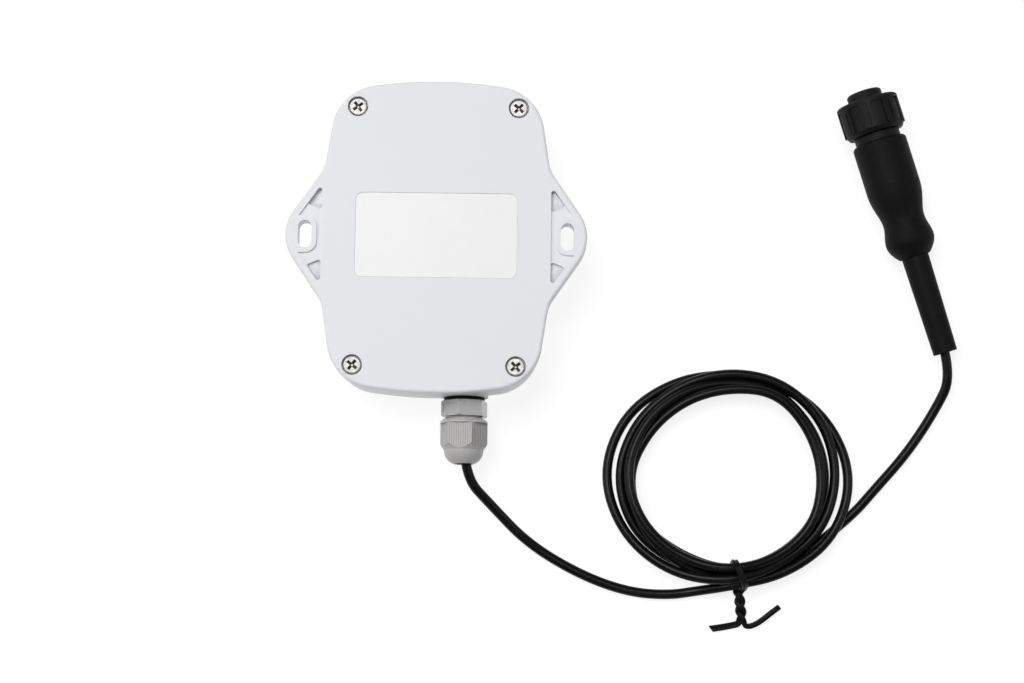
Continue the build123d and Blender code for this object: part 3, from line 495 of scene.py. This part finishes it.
@dataclass(frozen=True)
class ShrunkSleeve(Finish):
    """Heat-shrunk sleeve: faint lengthwise creases and the edge of what lies under it.

    Attributes:
        edge_at: distance of that edge behind the plug's tip
        edge_width: width of the soft step
        edge_depth: height of the step
        crease_depth: height of the creases
        crease_width: width of one crease
        crease_stretch: how many times longer than wide it is
    """

    edge_at: float = 0.0345
    edge_width: float = 0.0016
    edge_depth: float = 0.00013
    crease_depth: float = 0.000025
    crease_width: float = 0.003
    crease_stretch: float = 9.0

    def relief(self, sheet: NodeSheet) -> bpy.types.NodeSocket:
        """Grain over creases over the step.

        Args:
            sheet: the material's nodes

        Returns:
            The surface's direction.
        """
        turn = tuple(PLUG_POSE.turn().to_euler())
        own = sheet.framed(PLUG_POSE.tip, turn)
        drawn = sheet.framed(PLUG_POSE.tip, turn, (self.crease_stretch, 1.0, 1.0))
        step = sheet.span(sheet.axis(own, "X"), self.edge_at - self.edge_width / 2,
                          self.edge_at + self.edge_width / 2, 1, 0)
        base = sheet.bump(step, self.edge_depth)
        creased = sheet.bump(sheet.noise(drawn, self.crease_width, 1), self.crease_depth, base)
        return sheet.bump(self.grains(sheet), self.grain_depth, creased)


HOUSING_WHITE = Finish("housing_white", (0.765, 0.772, 0.802), (0.742, 0.75, 0.782), 0.5, 0.04,
                       Grain.SPARK_ERODED, 0.00035, 0.000012, gloss=0.4, drift_size=0.03)
LABEL_FILM = Finish("label_film", (0.79, 0.79, 0.795), (0.775, 0.775, 0.78), 0.36, 0.03,
                    Grain.POLISHED, 0.0004, 0.000006)
GASKET_SILICONE = Finish("gasket_silicone", (0.10, 0.10, 0.105), (0.12, 0.12, 0.125), 0.7,
                         grain=Grain.CAST)
SCREW_STEEL = ScrewSteel("screw_steel", (0.60, 0.59, 0.575), (0.50, 0.49, 0.475), 0.56, 0.1,
                         grain_size=0.0002, grain_depth=0.00001, metallic=1.0)
BOARD_SCREW_STEEL = Finish("board_screw_steel", (0.62, 0.61, 0.59), (0.55, 0.54, 0.52), 0.3, 0.08,
                           Grain.DRAWN, 0.0002, 0.000006, metallic=1.0, stretch=(6, 1, 1))
INSERT_BRASS = Finish("insert_brass", (0.72, 0.52, 0.24), (0.66, 0.47, 0.2), 0.3, 0.06,
                      Grain.DRAWN, 0.0002, 0.000005, metallic=1.0, stretch=(1, 1, 6))
SEAL_RUBBER = Finish("seal_rubber", (0.004, 0.004, 0.004), (0.008, 0.008, 0.008), 0.66, 0.08,
                     Grain.CAST, 0.0003, 0.00002, gloss=0.12)
GLAND_NYLON = Finish("gland_nylon", (0.43, 0.422, 0.42), (0.39, 0.382, 0.38), 0.32, 0.06,
                     Grain.SPARK_ERODED, 0.0005, 0.00002, coat=0.5, coat_roughness=0.16)
NUT_NYLON = GroovedNylon("nut_nylon", (0.45, 0.442, 0.44), (0.41, 0.402, 0.40), 0.36, 0.06,
                         Grain.SPARK_ERODED, 0.0005, 0.000014, gloss=0.2, coat=0.2,
                         coat_roughness=0.12)
BOARD_LAMINATE = Finish("board_laminate", (0.012, 0.09, 0.03), (0.015, 0.11, 0.04), 0.35,
                        grain=Grain.DRAWN, stretch=(1, 5, 1))
SHIELD_CAN = Finish("shield_can", (0.62, 0.62, 0.6), (0.55, 0.55, 0.54), 0.35, 0.06,
                    Grain.DRAWN, 0.0004, 0.000006, metallic=1.0, stretch=(8, 1, 1))
BATTERY_SLEEVE = Finish("battery_sleeve", (0.02, 0.12, 0.09), (0.025, 0.14, 0.1), 0.28)
WIRE_INSULATION = Finish("wire_insulation", (0.25, 0.012, 0.01), (0.2, 0.01, 0.01), 0.4)
CONNECTOR_PLASTIC = Finish("connector_plastic", (0.62, 0.58, 0.46), (0.58, 0.54, 0.42), 0.45)
TERMINAL_PLASTIC = Finish("terminal_plastic", (0.01, 0.1, 0.03), (0.012, 0.12, 0.04), 0.42)
LED_LENS = Finish("led_lens", (0.1, 0.5, 0.12), (0.12, 0.55, 0.15), 0.12, 0.02)
CABLE_JACKET = Finish("cable_jacket", (0.0025, 0.0025, 0.0028), (0.004, 0.004, 0.0044), 0.32, 0.06,
                      Grain.POLISHED, 0.0004, 0.00002, gloss=0.16, drift_size=0.03)
TIE_PLASTIC = Finish("tie_plastic", (0.004, 0.005, 0.0042), (0.007, 0.0085, 0.0072), 0.4, 0.08,
                     Grain.CAST, 0.0004, 0.00003, gloss=0.1)
PLUG_PLASTIC = Finish("plug_plastic", (0.004, 0.004, 0.0044), (0.0065, 0.0065, 0.007), 0.56, 0.06,
                      Grain.SPARK_ERODED, 0.00028, 0.00003, gloss=0.16)
BOOT_PLASTIC = ShrunkSleeve("boot_plastic", (0.0035, 0.0035, 0.004), (0.0055, 0.0055, 0.006), 0.58,
                            0.06, Grain.SPARK_ERODED, 0.0004, 0.000025, gloss=0.1)


def dress(finish: Finish, *names: str) -> None:
    """Give CAD nodes their finish.

    Args:
        finish: the finish that all of them take
        names: the nodes' names
    """
    for name in names:
        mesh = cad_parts[name].data
        mesh.materials.clear()
        mesh.materials.append(finish.material())
        log.info("%s wears %s", name, finish.name)


def show(name: str, shape: bmesh.types.BMesh, finish: Finish, body: str) -> bpy.types.Object:
    """Turn a finished mesh into a piece that rides on a body.

    Args:
        name: name of the piece
        shape: its mesh, which is used up
        finish: the finish that it wears
        body: the CAD body that carries it

    Returns:
        The piece.
    """
    bmesh.ops.remove_doubles(shape, verts=shape.verts, dist=WELD)
    bmesh.ops.recalc_face_normals(shape, faces=shape.faces)
    mesh = bpy.data.meshes.new(name)
    shape.to_mesh(mesh)
    shape.free()
    for face in mesh.polygons:
        face.use_smooth = True
    piece = bpy.data.objects.new(name, mesh)
    bpy.context.scene.collection.objects.link(piece)
    mesh.materials.append(finish.material())
    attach(piece, body)
    log.info("%s rides on %s", name, body)
    return piece


def smooth_line(name: str, points: list[Vector], closed: bool = False) -> bpy.types.Object:
    """Draw one smooth NURBS line that its points pull on.

    Args:
        name: name of the curve
        points: its control points
        closed: whether its end runs on into its start

    Returns:
        The curve's object.
    """
    data = bpy.data.curves.new(name, "CURVE")
    data.dimensions = "3D"
    line = data.splines.new("NURBS")
    line.points.add(len(points) - 1)
    for place, point in zip(line.points, points):
        place.co = (*point, 1.0)
    line.order_u = 3
    line.use_cyclic_u = closed
    line.use_endpoint_u = not closed
    drawn = bpy.data.objects.new(name, data)
    bpy.context.scene.collection.objects.link(drawn)
    return drawn


# Studio


@dataclass(frozen=True)
class SoftLamp:
    """One square soft lamp.

    Attributes:
        name: name of the lamp
        shift: where it hangs, seen from the point that it faces
        size: length of its side
        watts: its power
    """

    name: str
    shift: tuple[float, ...]
    size: float
    watts: float

    def hang(self, aim: Vector) -> None:
        """Hang the lamp.

        Args:
            aim: point that it faces
        """
        data = bpy.data.lights.new(self.name, "AREA")
        data.size = self.size
        data.energy = self.watts
        lamp = bpy.data.objects.new(self.name, data)
        shift = Vector(self.shift)
        turn = shift.to_track_quat("Z", "Y").to_matrix().to_4x4()
        lamp.matrix_world = Matrix.Translation(aim + shift) @ turn
        bpy.context.scene.collection.objects.link(lamp)


@dataclass
class Studio:
    """Plain pale floor, soft light and the camera over the flat-laid sensor.

    Attributes:
        aim: point in the middle of the picture
        distance: from that point to the camera
        tilt: degrees that the camera leans towards the gland
        roll: degrees that the picture is turned
        lens: focal length in the camera's own millimetres
        sensor: width of the camera's sensor in the same
        nearest: distance from the camera under which nothing is drawn
        floor_side: length of the floor's side
        floor_drop: how far the floor lies under the parts, so that the faces don't meet
        floor_glow: light that the floor gives by itself, so that it stays pale
        floor_tones: the two close greys of its paper
        fibre: width of one fibre of the paper
        sky_tint: colour of the surroundings
        sky_low: their brightness near the floor
        sky_high: their brightness straight above
        sky_rise: heights between which they go from one to the other, as shares of straight up
        sky_shown: their brightness where the camera sees them
        lamp_middle: point that the lamps face
        lamps: the key box high at the back left, and weaker ones at the sides and in front
    """

    aim: Vector = field(default_factory=lambda: Vector(mm(25.7, -35.45, 27.5)))
    distance: float = 0.71
    tilt: float = 8.8
    roll: float = 0.75
    lens: float = 75.64
    sensor: float = 36.0
    nearest: float = 0.01
    floor_side: float = 4.0
    floor_drop: float = 0.00006
    floor_glow: float = 0.82
    floor_tones: tuple[Colour, Colour] = ((0.22, 0.22, 0.22), (0.25, 0.25, 0.25))
    fibre: float = 0.0014
    sky_tint: Colour = (0.98, 0.985, 1.0)
    sky_low: float = 0.10
    sky_high: float = 0.12
    sky_rise: tuple[float, float] = (0.2, 0.9)
    sky_shown: float = 0.94
    lamp_middle: Vector = field(default_factory=lambda: Vector(mm(40, -30, 0)))
    lamps: tuple[SoftLamp, ...] = (
        SoftLamp("key_box", (-0.5, 0.55, 2.0), 1.2, 32.0),
        SoftLamp("left_box", (-1.0, 0.0, 0.75), 0.6, 3.2),
        SoftLamp("right_box", (1.0, 0.1, 0.8), 0.6, 2.6),
        SoftLamp("front_box", (0.03, -0.95, 1.2), 0.12, 0.8),
    )

    def camera(self) -> None:
        """Set up the camera and make it the scene's own."""
        tilt, roll = math.radians(self.tilt), math.radians(self.roll)
        away = Vector((0, -math.sin(tilt), math.cos(tilt)))
        level_up = Vector((0, math.cos(tilt), math.sin(tilt)))
        level_right = Vector((1, 0, 0))
        right = math.cos(roll) * level_right + math.sin(roll) * level_up
        up = -math.sin(roll) * level_right + math.cos(roll) * level_up
        data = bpy.data.cameras.new("camera")
        data.lens = self.lens
        data.sensor_width = self.sensor
        data.clip_start = self.nearest
        shot = bpy.data.objects.new("camera", data)
        spot = self.aim + self.distance * away
        turn = Matrix((right, up, away)).transposed().to_4x4()
        shot.matrix_world = Matrix.Translation(spot) @ turn
        bpy.context.scene.collection.objects.link(shot)
        bpy.context.scene.camera = shot

    def floor(self) -> None:
        """Lay the pale floor, which is stage and no part of the sensor."""
        shape = bmesh.new()
        bmesh.ops.create_grid(shape, x_segments=1, y_segments=1, size=self.floor_side / 2)
        bmesh.ops.translate(shape, verts=shape.verts, vec=(0, 0, -self.floor_drop))
        mesh = bpy.data.meshes.new("floor")
        shape.to_mesh(mesh)
        shape.free()
        laid = bpy.data.objects.new("floor", mesh)
        bpy.context.scene.collection.objects.link(laid)
        paper = NodeSheet("studio_paper", (0.9, 0.9, 0.9))
        paper.constant("Roughness", 0.9)
        paper.constant("Specular IOR Level", 0.1)
        paper.constant("Emission Color", (1.0, 1.0, 1.0, 1.0))
        paper.constant("Emission Strength", self.floor_glow)
        paper.feed("Base Color", paper.blend(paper.noise(paper.place, self.fibre),
                                             *self.floor_tones))
        mesh.materials.append(paper.material)

    def sky(self) -> None:
        """Light the scene faintly from all round, from surroundings that look paler than that."""
        world = bpy.data.worlds.new("studio_sky")
        bpy.context.scene.world = world
        world.use_nodes = True
        nodes, links = world.node_tree.nodes, world.node_tree.links
        nodes.clear()
        out = nodes.new("ShaderNodeOutputWorld")
        mix = nodes.new("ShaderNodeMixShader")
        ray = nodes.new("ShaderNodeLightPath")
        lit = nodes.new("ShaderNodeBackground")
        shown = nodes.new("ShaderNodeBackground")
        for glow in (lit, shown):
            glow.inputs["Color"].default_value = (*self.sky_tint, 1.0)
        shown.inputs["Strength"].default_value = self.sky_shown
        place = nodes.new("ShaderNodeTexCoord")
        height = nodes.new("ShaderNodeSeparateXYZ")
        fall = nodes.new("ShaderNodeMapRange")
        for name, number in zip(("From Min", "From Max", "To Min", "To Max"),
                                (*self.sky_rise, self.sky_low, self.sky_high)):
            fall.inputs[name].default_value = number
        links.new(place.outputs["Generated"], height.inputs["Vector"])
        links.new(height.outputs["Z"], fall.inputs["Value"])
        links.new(fall.outputs["Result"], lit.inputs["Strength"])
        links.new(ray.outputs["Is Camera Ray"], mix.inputs["Fac"])
        links.new(lit.outputs["Background"], mix.inputs[1])
        links.new(shown.outputs["Background"], mix.inputs[2])
        links.new(mix.outputs["Shader"], out.inputs["Surface"])

    def build(self) -> None:
        """Set up the whole studio."""
        bpy.context.scene.view_settings.view_transform = "Standard"
        bpy.context.scene.view_settings.look = "None"
        self.camera()
        self.floor()
        self.sky()
        for lamp in self.lamps:
            lamp.hang(self.lamp_middle)
        log.info("studio: floor, sky, lamps and camera")


# Parts


@dataclass(frozen=True)
class ThreadRidge:
    """The ridge of a screw thread, wound round its own Z axis and then put in place.

    Attributes:
        name: name of the piece
        wall: radius of the wall that the ridge stands on
        height: how far it stands out of the wall, less than 0 for an inner thread
        pitch: rise of one turn
        start: height of its first turn on the axis
        turns: number of turns
        steps: straight steps in one turn
        foot: half the ridge's width at the wall, in pitches
        crest: half its width at the crest, in pitches
        sunk: how far its foot is sunk into the wall, in pitches
    """

    name: str
    wall: float
    height: float
    pitch: float
    start: float
    turns: float
    steps: int = 48
    foot: float = 0.42
    crest: float = 0.08
    sunk: float = 0.05

    def mesh(self, place: Matrix) -> bmesh.types.BMesh:
        """Wind the ridge.

        Args:
            place: where its own frame lies in the model

        Returns:
            The mesh.
        """
        shape = bmesh.new()
        root = self.wall - math.copysign(self.pitch * self.sunk, self.height)
        tip = self.wall + self.height
        corners = [shape.verts.new((reach, 0, self.start + self.pitch * share))
                   for reach, share in ((root, -self.foot), (tip, -self.crest),
                                        (tip, self.crest), (root, self.foot))]
        ring = bmesh.ops.contextual_create(shape, geom=corners)["faces"]
        edges = list(ring[0].edges)
        bmesh.ops.delete(shape, geom=ring, context="FACES_ONLY")
        bmesh.ops.spin(shape, geom=corners + edges, cent=(0, 0, 0), axis=(0, 0, 1),
                       dvec=(0, 0, self.pitch / self.steps), angle=2 * math.pi * self.turns,
                       steps=round(self.steps * self.turns), use_merge=False)
        ends = [edge for edge in shape.edges if edge.is_boundary]
        bmesh.ops.holes_fill(shape, edges=ends, sides=4)
        bmesh.ops.transform(shape, matrix=place, verts=shape.verts)
        return shape


@dataclass
class Housing:
    """White cover and shell with their screws and blank label.

    Attributes:
        web_corners: outline of the thin floor in one small pocket of an ear
        web_bottom: height of that floor's lower face
        web_thickness: its thickness
        web_rounding: how far its corners are rounded
    """

    web_corners: tuple[tuple[float, float], ...] = (mm(38.2, 17.2), mm(38.2, 7.4), mm(43.8, 9.4))
    web_bottom: float = 0.0255
    web_thickness: float = 0.0006
    web_rounding: float = 0.0004

    def webs(self) -> bpy.types.Object:
        """Floor the four small pockets of the ears.

        Returns:
            The floors as one piece.
        """
        shape = bmesh.new()
        corners = [shape.verts.new((x, y, self.web_bottom)) for x, y in self.web_corners]
        bmesh.ops.contextual_create(shape, geom=corners)
        bmesh.ops.bevel(shape, geom=corners, offset=self.web_rounding, segments=3, profile=0.5,
                        affect="VERTICES", material=-1)
        bmesh.ops.solidify(shape, geom=shape.faces[:], thickness=-self.web_thickness)
        for axis in ("X", "Y"):
            bmesh.ops.mirror(shape, geom=shape.verts[:] + shape.edges[:] + shape.faces[:],
                             axis=axis, merge_dist=0)
        return show("ear_webs", shape, HOUSING_WHITE, SENSOR)

    def build(self) -> None:
        """Dress the moulded parts."""
        self.webs()
        dress(HOUSING_WHITE, "back_cover", "front_shell")
        dress(GASKET_SILICONE, "cover_gasket")
        dress(SCREW_STEEL, "cover_screws")
        dress(INSERT_BRASS, "threaded_inserts")
        dress(LABEL_FILM, "label_plate")


@dataclass
class Internals:
    """The board and battery inside the sealed housing."""

    def build(self) -> None:
        """Dress the parts that only show when the cover is off."""
        dress(BOARD_LAMINATE, "circuit_board")
        dress(BOARD_SCREW_STEEL, "board_screws", "terminal_screws")
        dress(SHIELD_CAN, "radio_module")
        dress(INSERT_BRASS, "antenna")
        dress(BATTERY_SLEEVE, "battery_cell")
        dress(WIRE_INSULATION, "battery_lead", "core_wires")
        dress(CONNECTOR_PLASTIC, "battery_plug")
        dress(TERMINAL_PLASTIC, "terminal_block")
        dress(LED_LENS, "status_led")


@dataclass
class Gland:
    """Grey cable gland at the lower edge of the housing.

    Attributes:
        face: middle of the housing's wall under the gland
        neck_thread: the turn of thread that shows between hexagon and dome nut
    """

    face: tuple[float, ...] = mm(10.0, -52.6, 13.0)
    neck_thread: ThreadRidge = ThreadRidge(
        "gland_neck_thread", wall=0.00588, height=0.00055, pitch=0.00062, start=0.00664,
        turns=1.0)

    def build(self) -> None:
        """Dress the gland and wind the turn of thread."""
        dress(GLAND_NYLON, "gland_body", "gland_locknut")
        dress(NUT_NYLON, "gland_nut")
        dress(SEAL_RUBBER, "gland_washer", "gland_seal")
        outward = Matrix.Translation(Vector(self.face)) @ Matrix.Rotation(math.pi / 2, 4, "X")
        show(self.neck_thread.name, self.neck_thread.mesh(outward), GLAND_NYLON, SENSOR)


@dataclass
class Plug:
    """Round waterproof plug with its coupling ring, boot and sleeve.

    Attributes:
        ring_thread: the inner thread of the coupling ring
    """

    ring_thread: ThreadRidge = ThreadRidge(
        "ring_thread", wall=0.0088, height=-0.0005, pitch=0.0015, start=0.0046,
        turns=4.0, steps=72)

    def build(self) -> None:
        """Dress the plug and wind the ring's thread."""
        dress(PLUG_PLASTIC, "plug_body", "coupling_ring")
        dress(BOOT_PLASTIC, "heat_shrink_boot", "strain_sleeve")
        dress(INSERT_BRASS, "contact_sockets")
        dress(SEAL_RUBBER, "plug_o_ring")
        along = PLUG_POSE.matrix() @ Matrix.Rotation(math.pi / 2, 4, "Y")
        show(self.ring_thread.name, self.ring_thread.mesh(along), PLUG_PLASTIC, RING)


@dataclass
class WireTie:
    """Coated wire that holds the turns: a loop, a twisted stem and two loose ends.

    Attributes:
        foot: middle of the bundle where the loop goes round it
        lean: degrees that the loop is turned from the model's Y axis
        inner: how far the loop's inner leg stands from the foot
        outer: how far its outer leg stands from the foot
        top: height of the run over the bundle
        bottom: height of the run under it
        slant: how far the run over the bundle is out of line at each end
        corner: how soon the wire bends away before a corner of the loop
        stem_start: where the twisted stem starts
        stem_end: where it ends
        twist_radius: distance of each wire from the stem's axis
        half_twists: number of half turns in the stem
        twist_steps: straight steps in one half turn
        short_end: points of the loose end that lies to the left
        long_end: points of the loose end that curves up to the right
        cut_at: point where the short end is cut off at a slant
        cut_facing: direction that the cut faces
        width: width of the flat wire
        thickness: its thickness
    """

    foot: tuple[float, ...] = mm(102.9, -110.0)
    lean: float = 14.0
    inner: float = -0.0045
    outer: float = 0.0050
    top: float = 0.01205
    bottom: float = 0.0009
    slant: float = 0.0009
    corner: float = 0.0015
    stem_start: tuple[float, ...] = mm(102.85, -115.3, 2.3)
    stem_end: tuple[float, ...] = mm(104.0, -125.7, 1.7)
    twist_radius: float = 0.00088
    half_twists: float = 3.0
    twist_steps: int = 6
    short_end: tuple[tuple[float, ...], ...] = (
        mm(102.5, -126.4, 1.1), mm(100.6, -126.8, 0.8), mm(97.8, -127.4, 0.78),
        mm(92.6, -128.2, 0.78))
    long_end: tuple[tuple[float, ...], ...] = (
        mm(104.8, -126.6, 1.35), mm(106.0, -127.2, 1.15), mm(108.5, -126.5, 1.13),
        mm(111.2, -124.7, 1.13), mm(114.0, -122.4, 1.13), mm(116.7, -120.4, 1.13))
    cut_at: tuple[float, ...] = mm(93.7, -128.1, 0.0)
    cut_facing: tuple[float, ...] = (-0.8, -0.6, 0.0)
    width: float = 0.0024
    thickness: float = 0.0016

    def loop(self) -> list[Vector]:
        """Points of the loop, from the stem's right wire over the bundle to its left wire.

        Returns:
            The points in order.
        """
        lean = math.radians(self.lean)
        outward = Vector((math.sin(lean), -math.cos(lean), 0))
        aside = Vector((outward.y, -outward.x, 0))
        plan = (
            (self.outer + 0.0005, 0.1 * self.slant, 0.0026),
            (self.outer + 0.0001, -0.2 * self.slant, 0.0042),
            (self.outer - 0.0001, -0.4 * self.slant, 0.0066),
            (self.outer - 0.0007, -0.5 * self.slant, 0.0095),
            (0.0030, -0.2 * self.slant, self.top - 0.0004),
            (0.0, 0.3 * self.slant, self.top + 0.0001),
            (self.inner + 1.3 * self.corner, 0.9 * self.slant, self.top),
            (self.inner, self.slant, self.top - 1.3 * self.corner),
            (self.inner, self.slant, 0.5 * self.top),
            (self.inner + 0.0004, self.slant, self.bottom + self.corner),
            (self.inner + 0.0004 + self.corner, self.slant, self.bottom),
            (0.0005, self.slant, self.bottom),
            (self.outer - 2 * self.corner, self.slant, self.bottom),
        )
        foot = Vector((*self.foot, 0))
        return [foot + out * outward + side * aside + Vector((0, 0, height))
                for out, side, height in plan]

    def strand(self, start_angle: float) -> list[Vector]:
        """Points of one wire of the stem.

        Args:
            start_angle: where it starts round the axis, in degrees from the right

        Returns:
            The points from the bundle outwards.
        """
        start, end = Vector(self.stem_start), Vector(self.stem_end)
        steps = round(self.twist_steps * self.half_twists)
        points = []
        for step in range(steps + 1):
            share = step / steps
            angle = math.radians(start_angle - 180 * self.half_twists * share)
            swing = Vector((math.cos(angle), 0, math.sin(angle))) * self.twist_radius
            points.append(start.lerp(end, share) + swing)
        return points

    def route(self) -> list[Vector]:
        """The whole wire from the tip of its short end to that of its long end.

        Returns:
            The points in order.
        """
        short = [Vector(point) for point in reversed(self.short_end)]
        long = [Vector(point) for point in self.long_end]
        return (short + list(reversed(self.strand(0.0))) + self.loop() + self.strand(180.0)
                + long)

    def outline(self) -> bpy.types.Object:
        """Draw the wire's flat section with a shallow groove along both faces.

        Returns:
            A closed curve, used only while the wire is made.
        """
        half, flat = self.width / 2, self.thickness / 2
        upper = [(0.75, 1.0), (0.3, 1.0), (0.0, 0.5), (-0.3, 1.0), (-0.75, 1.0)]
        places = [(1.0, 0.0), *upper, (-1.0, 0.0), *((-across, -up) for across, up in upper)]
        made = smooth_line("tie_section", [Vector((across * half, up * flat, 0))
                                           for across, up in places], closed=True)
        made.data.dimensions = "2D"
        made.data.resolution_u = 2
        return made

    def build(self) -> bpy.types.Object:
        """Bend the wire along its route and hang it on the cable.

        Returns:
            The tie.
        """
        section = self.outline()
        wire = smooth_line("tie_wire", self.route())
        wire.data.bevel_mode = "OBJECT"
        wire.data.bevel_object = section
        wire.data.use_fill_caps = True
        wire.data.twist_mode = "MINIMUM"
        wire.data.resolution_u = 4
        bpy.context.view_layer.update()
        solid = bpy.data.meshes.new_from_object(
            wire.evaluated_get(bpy.context.evaluated_depsgraph_get()))
        shape = bmesh.new()
        shape.from_mesh(solid)
        bpy.data.meshes.remove(solid)
        for helper in (wire, section):
            curve = helper.data
            bpy.data.objects.remove(helper)
            bpy.data.curves.remove(curve)
        bmesh.ops.remove_doubles(shape, verts=shape.verts, dist=WELD)
        everything = list(shape.verts) + list(shape.edges) + list(shape.faces)
        bmesh.ops.bisect_plane(shape, geom=everything, plane_co=self.cut_at,
                               plane_no=self.cut_facing, clear_outer=True)
        rim = [edge for edge in shape.edges if edge.is_boundary]
        bmesh.ops.holes_fill(shape, edges=rim, sides=0)
        tie = show("wire_tie", shape, TIE_PLASTIC, SENSOR)
        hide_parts("twist_tie")
        return tie


@dataclass
class SensingLead:
    """Cable from the gland through five loose turns to the plug.

    Attributes:
        diameter: thickness of the jacket
        middle: centre that the turns are laid round
        lead: points from the gland to the tie
        turns: one row a turn, with the distance from the centre and the height of each point
        tail: points from the tie to the plug's sleeve
        first_bearing: direction of a turn's first point in degrees
        length: length of the cable along its middle
    """

    diameter: float = 0.0033
    middle: tuple[float, float] = mm(99.2, -76.5)
    lead: tuple[tuple[float, ...], ...] = (
        mm(10.0, -64.5, 13.0), mm(10.0, -78.5, 13.0), mm(19.8, -88.3, 6.0), mm(31.8, -100.2, 1.65),
        mm(48.8, -110.2, 1.65), mm(65.0, -116.0, 1.65), mm(79.0, -117.1, 1.65),
        mm(90.2, -115.3, 2.3),
    )
    turns: tuple[tuple[tuple[float, float], ...], ...] = (
        (mm(37.5, 6.9), mm(38.5, 5.7), mm(41.5, 5.1), mm(42.4, 3.4), mm(39.8, 2.0),
         mm(36.6, 1.65), mm(35.1, 1.65), mm(37.0, 1.65), mm(40.6, 1.65), mm(42.5, 2.0),
         mm(41.0, 3.1), mm(38.6, 5.0)),
        (mm(36.4, 10.1), mm(34.9, 6.7), mm(36.7, 5.6), mm(37.2, 5.0), mm(37.6, 5.1),
         mm(36.9, 5.3), mm(35.3, 5.1), mm(34.7, 4.1), mm(36.0, 2.8), mm(37.7, 1.9),
         mm(37.4, 1.65), mm(34.9, 1.65)),
        (mm(33.1, 3.55), mm(33.6, 1.85), mm(34.4, 1.65), mm(34.1, 1.65), mm(33.9, 1.65),
         mm(33.6, 1.65), mm(31.9, 1.65), mm(32.3, 1.65), mm(33.2, 1.65), mm(34.6, 1.65),
         mm(34.2, 1.7), mm(31.6, 3.2)),
        (mm(32.8, 6.9), mm(32.4, 5.1), mm(33.3, 4.8), mm(33.4, 4.9), mm(33.0, 4.9), mm(33.6, 4.9),
         mm(31.8, 4.9), mm(32.3, 5.7), mm(33.5, 6.8), mm(35.0, 7.8), mm(34.3, 8.3), mm(33.0, 8.4)),
        (mm(32.7, 10.1), mm(32.6, 8.4), mm(33.2, 8.1), mm(31.8, 8.1), mm(31.4, 8.2), mm(32.3, 8.2),
         mm(29.3, 7.8), mm(29.0, 6.7), mm(30.5, 5.2), mm(34.1, 4.7), mm(34.6, 5.2), mm(34.9, 5.9)),
    )
    tail: tuple[tuple[float, ...], ...] = (
        mm(100.1, -112.7, 4.4), mm(118.9, -107.8, 1.7), mm(141.2, -89.7, 1.65),
        mm(148.6, -81.2, 1.65), mm(160.2, -68.2, 1.65), mm(169.9, -53.6, 1.9),
        mm(175.303, -41.723, 6.283), mm(171.464, -29.322, 6.963),
    )
    first_bearing: float = 270.0
    length: float = 1.30

    def route(self) -> list[Vector]:
        """Points of the cable's middle line.

        Returns:
            The lead's points, then those of every turn, then the tail's.
        """
        points = [Vector(point) for point in self.lead]
        for row in self.turns:
            for step, (reach, height) in enumerate(row):
                bearing = math.radians(self.first_bearing + 360 * step / len(row))
                points.append(Vector((self.middle[0] + reach * math.cos(bearing),
                                      self.middle[1] + reach * math.sin(bearing), height)))
        return points + [Vector(point) for point in self.tail]

    def cable(self) -> bpy.types.Object:
        """Lay the cable as one smooth spline.

        Returns:
            The curve's object.
        """
        laid = smooth_line("sensing_cable", self.route())
        laid.data.bevel_depth = self.diameter / 2
        laid.data.bevel_resolution = 5
        laid.data.use_fill_caps = True
        laid.data.resolution_u = 8
        laid.data.materials.append(CABLE_JACKET.material())
        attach(laid, SENSOR)
        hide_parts("cable_lead", "cable_coil", "cable_tail")
        return laid

    def build(self) -> None:
        """Lay the cable and its tie, and say what is on it."""
        laid = self.cable()
        tie = WireTie().build()
        dress(CABLE_JACKET, "cable_inlet")
        log.info("sensing lead: cable %.2f m", self.length)


def main() -> None:
    """Build and dress everything."""
    logging.basicConfig(level=logging.INFO, format="%(message)s")
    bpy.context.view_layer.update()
    for group in (Studio(), SensingLead(), Housing(), Internals(), Gland(), Plug()):
        group.build()


if __name__ == "__main__":
    main()
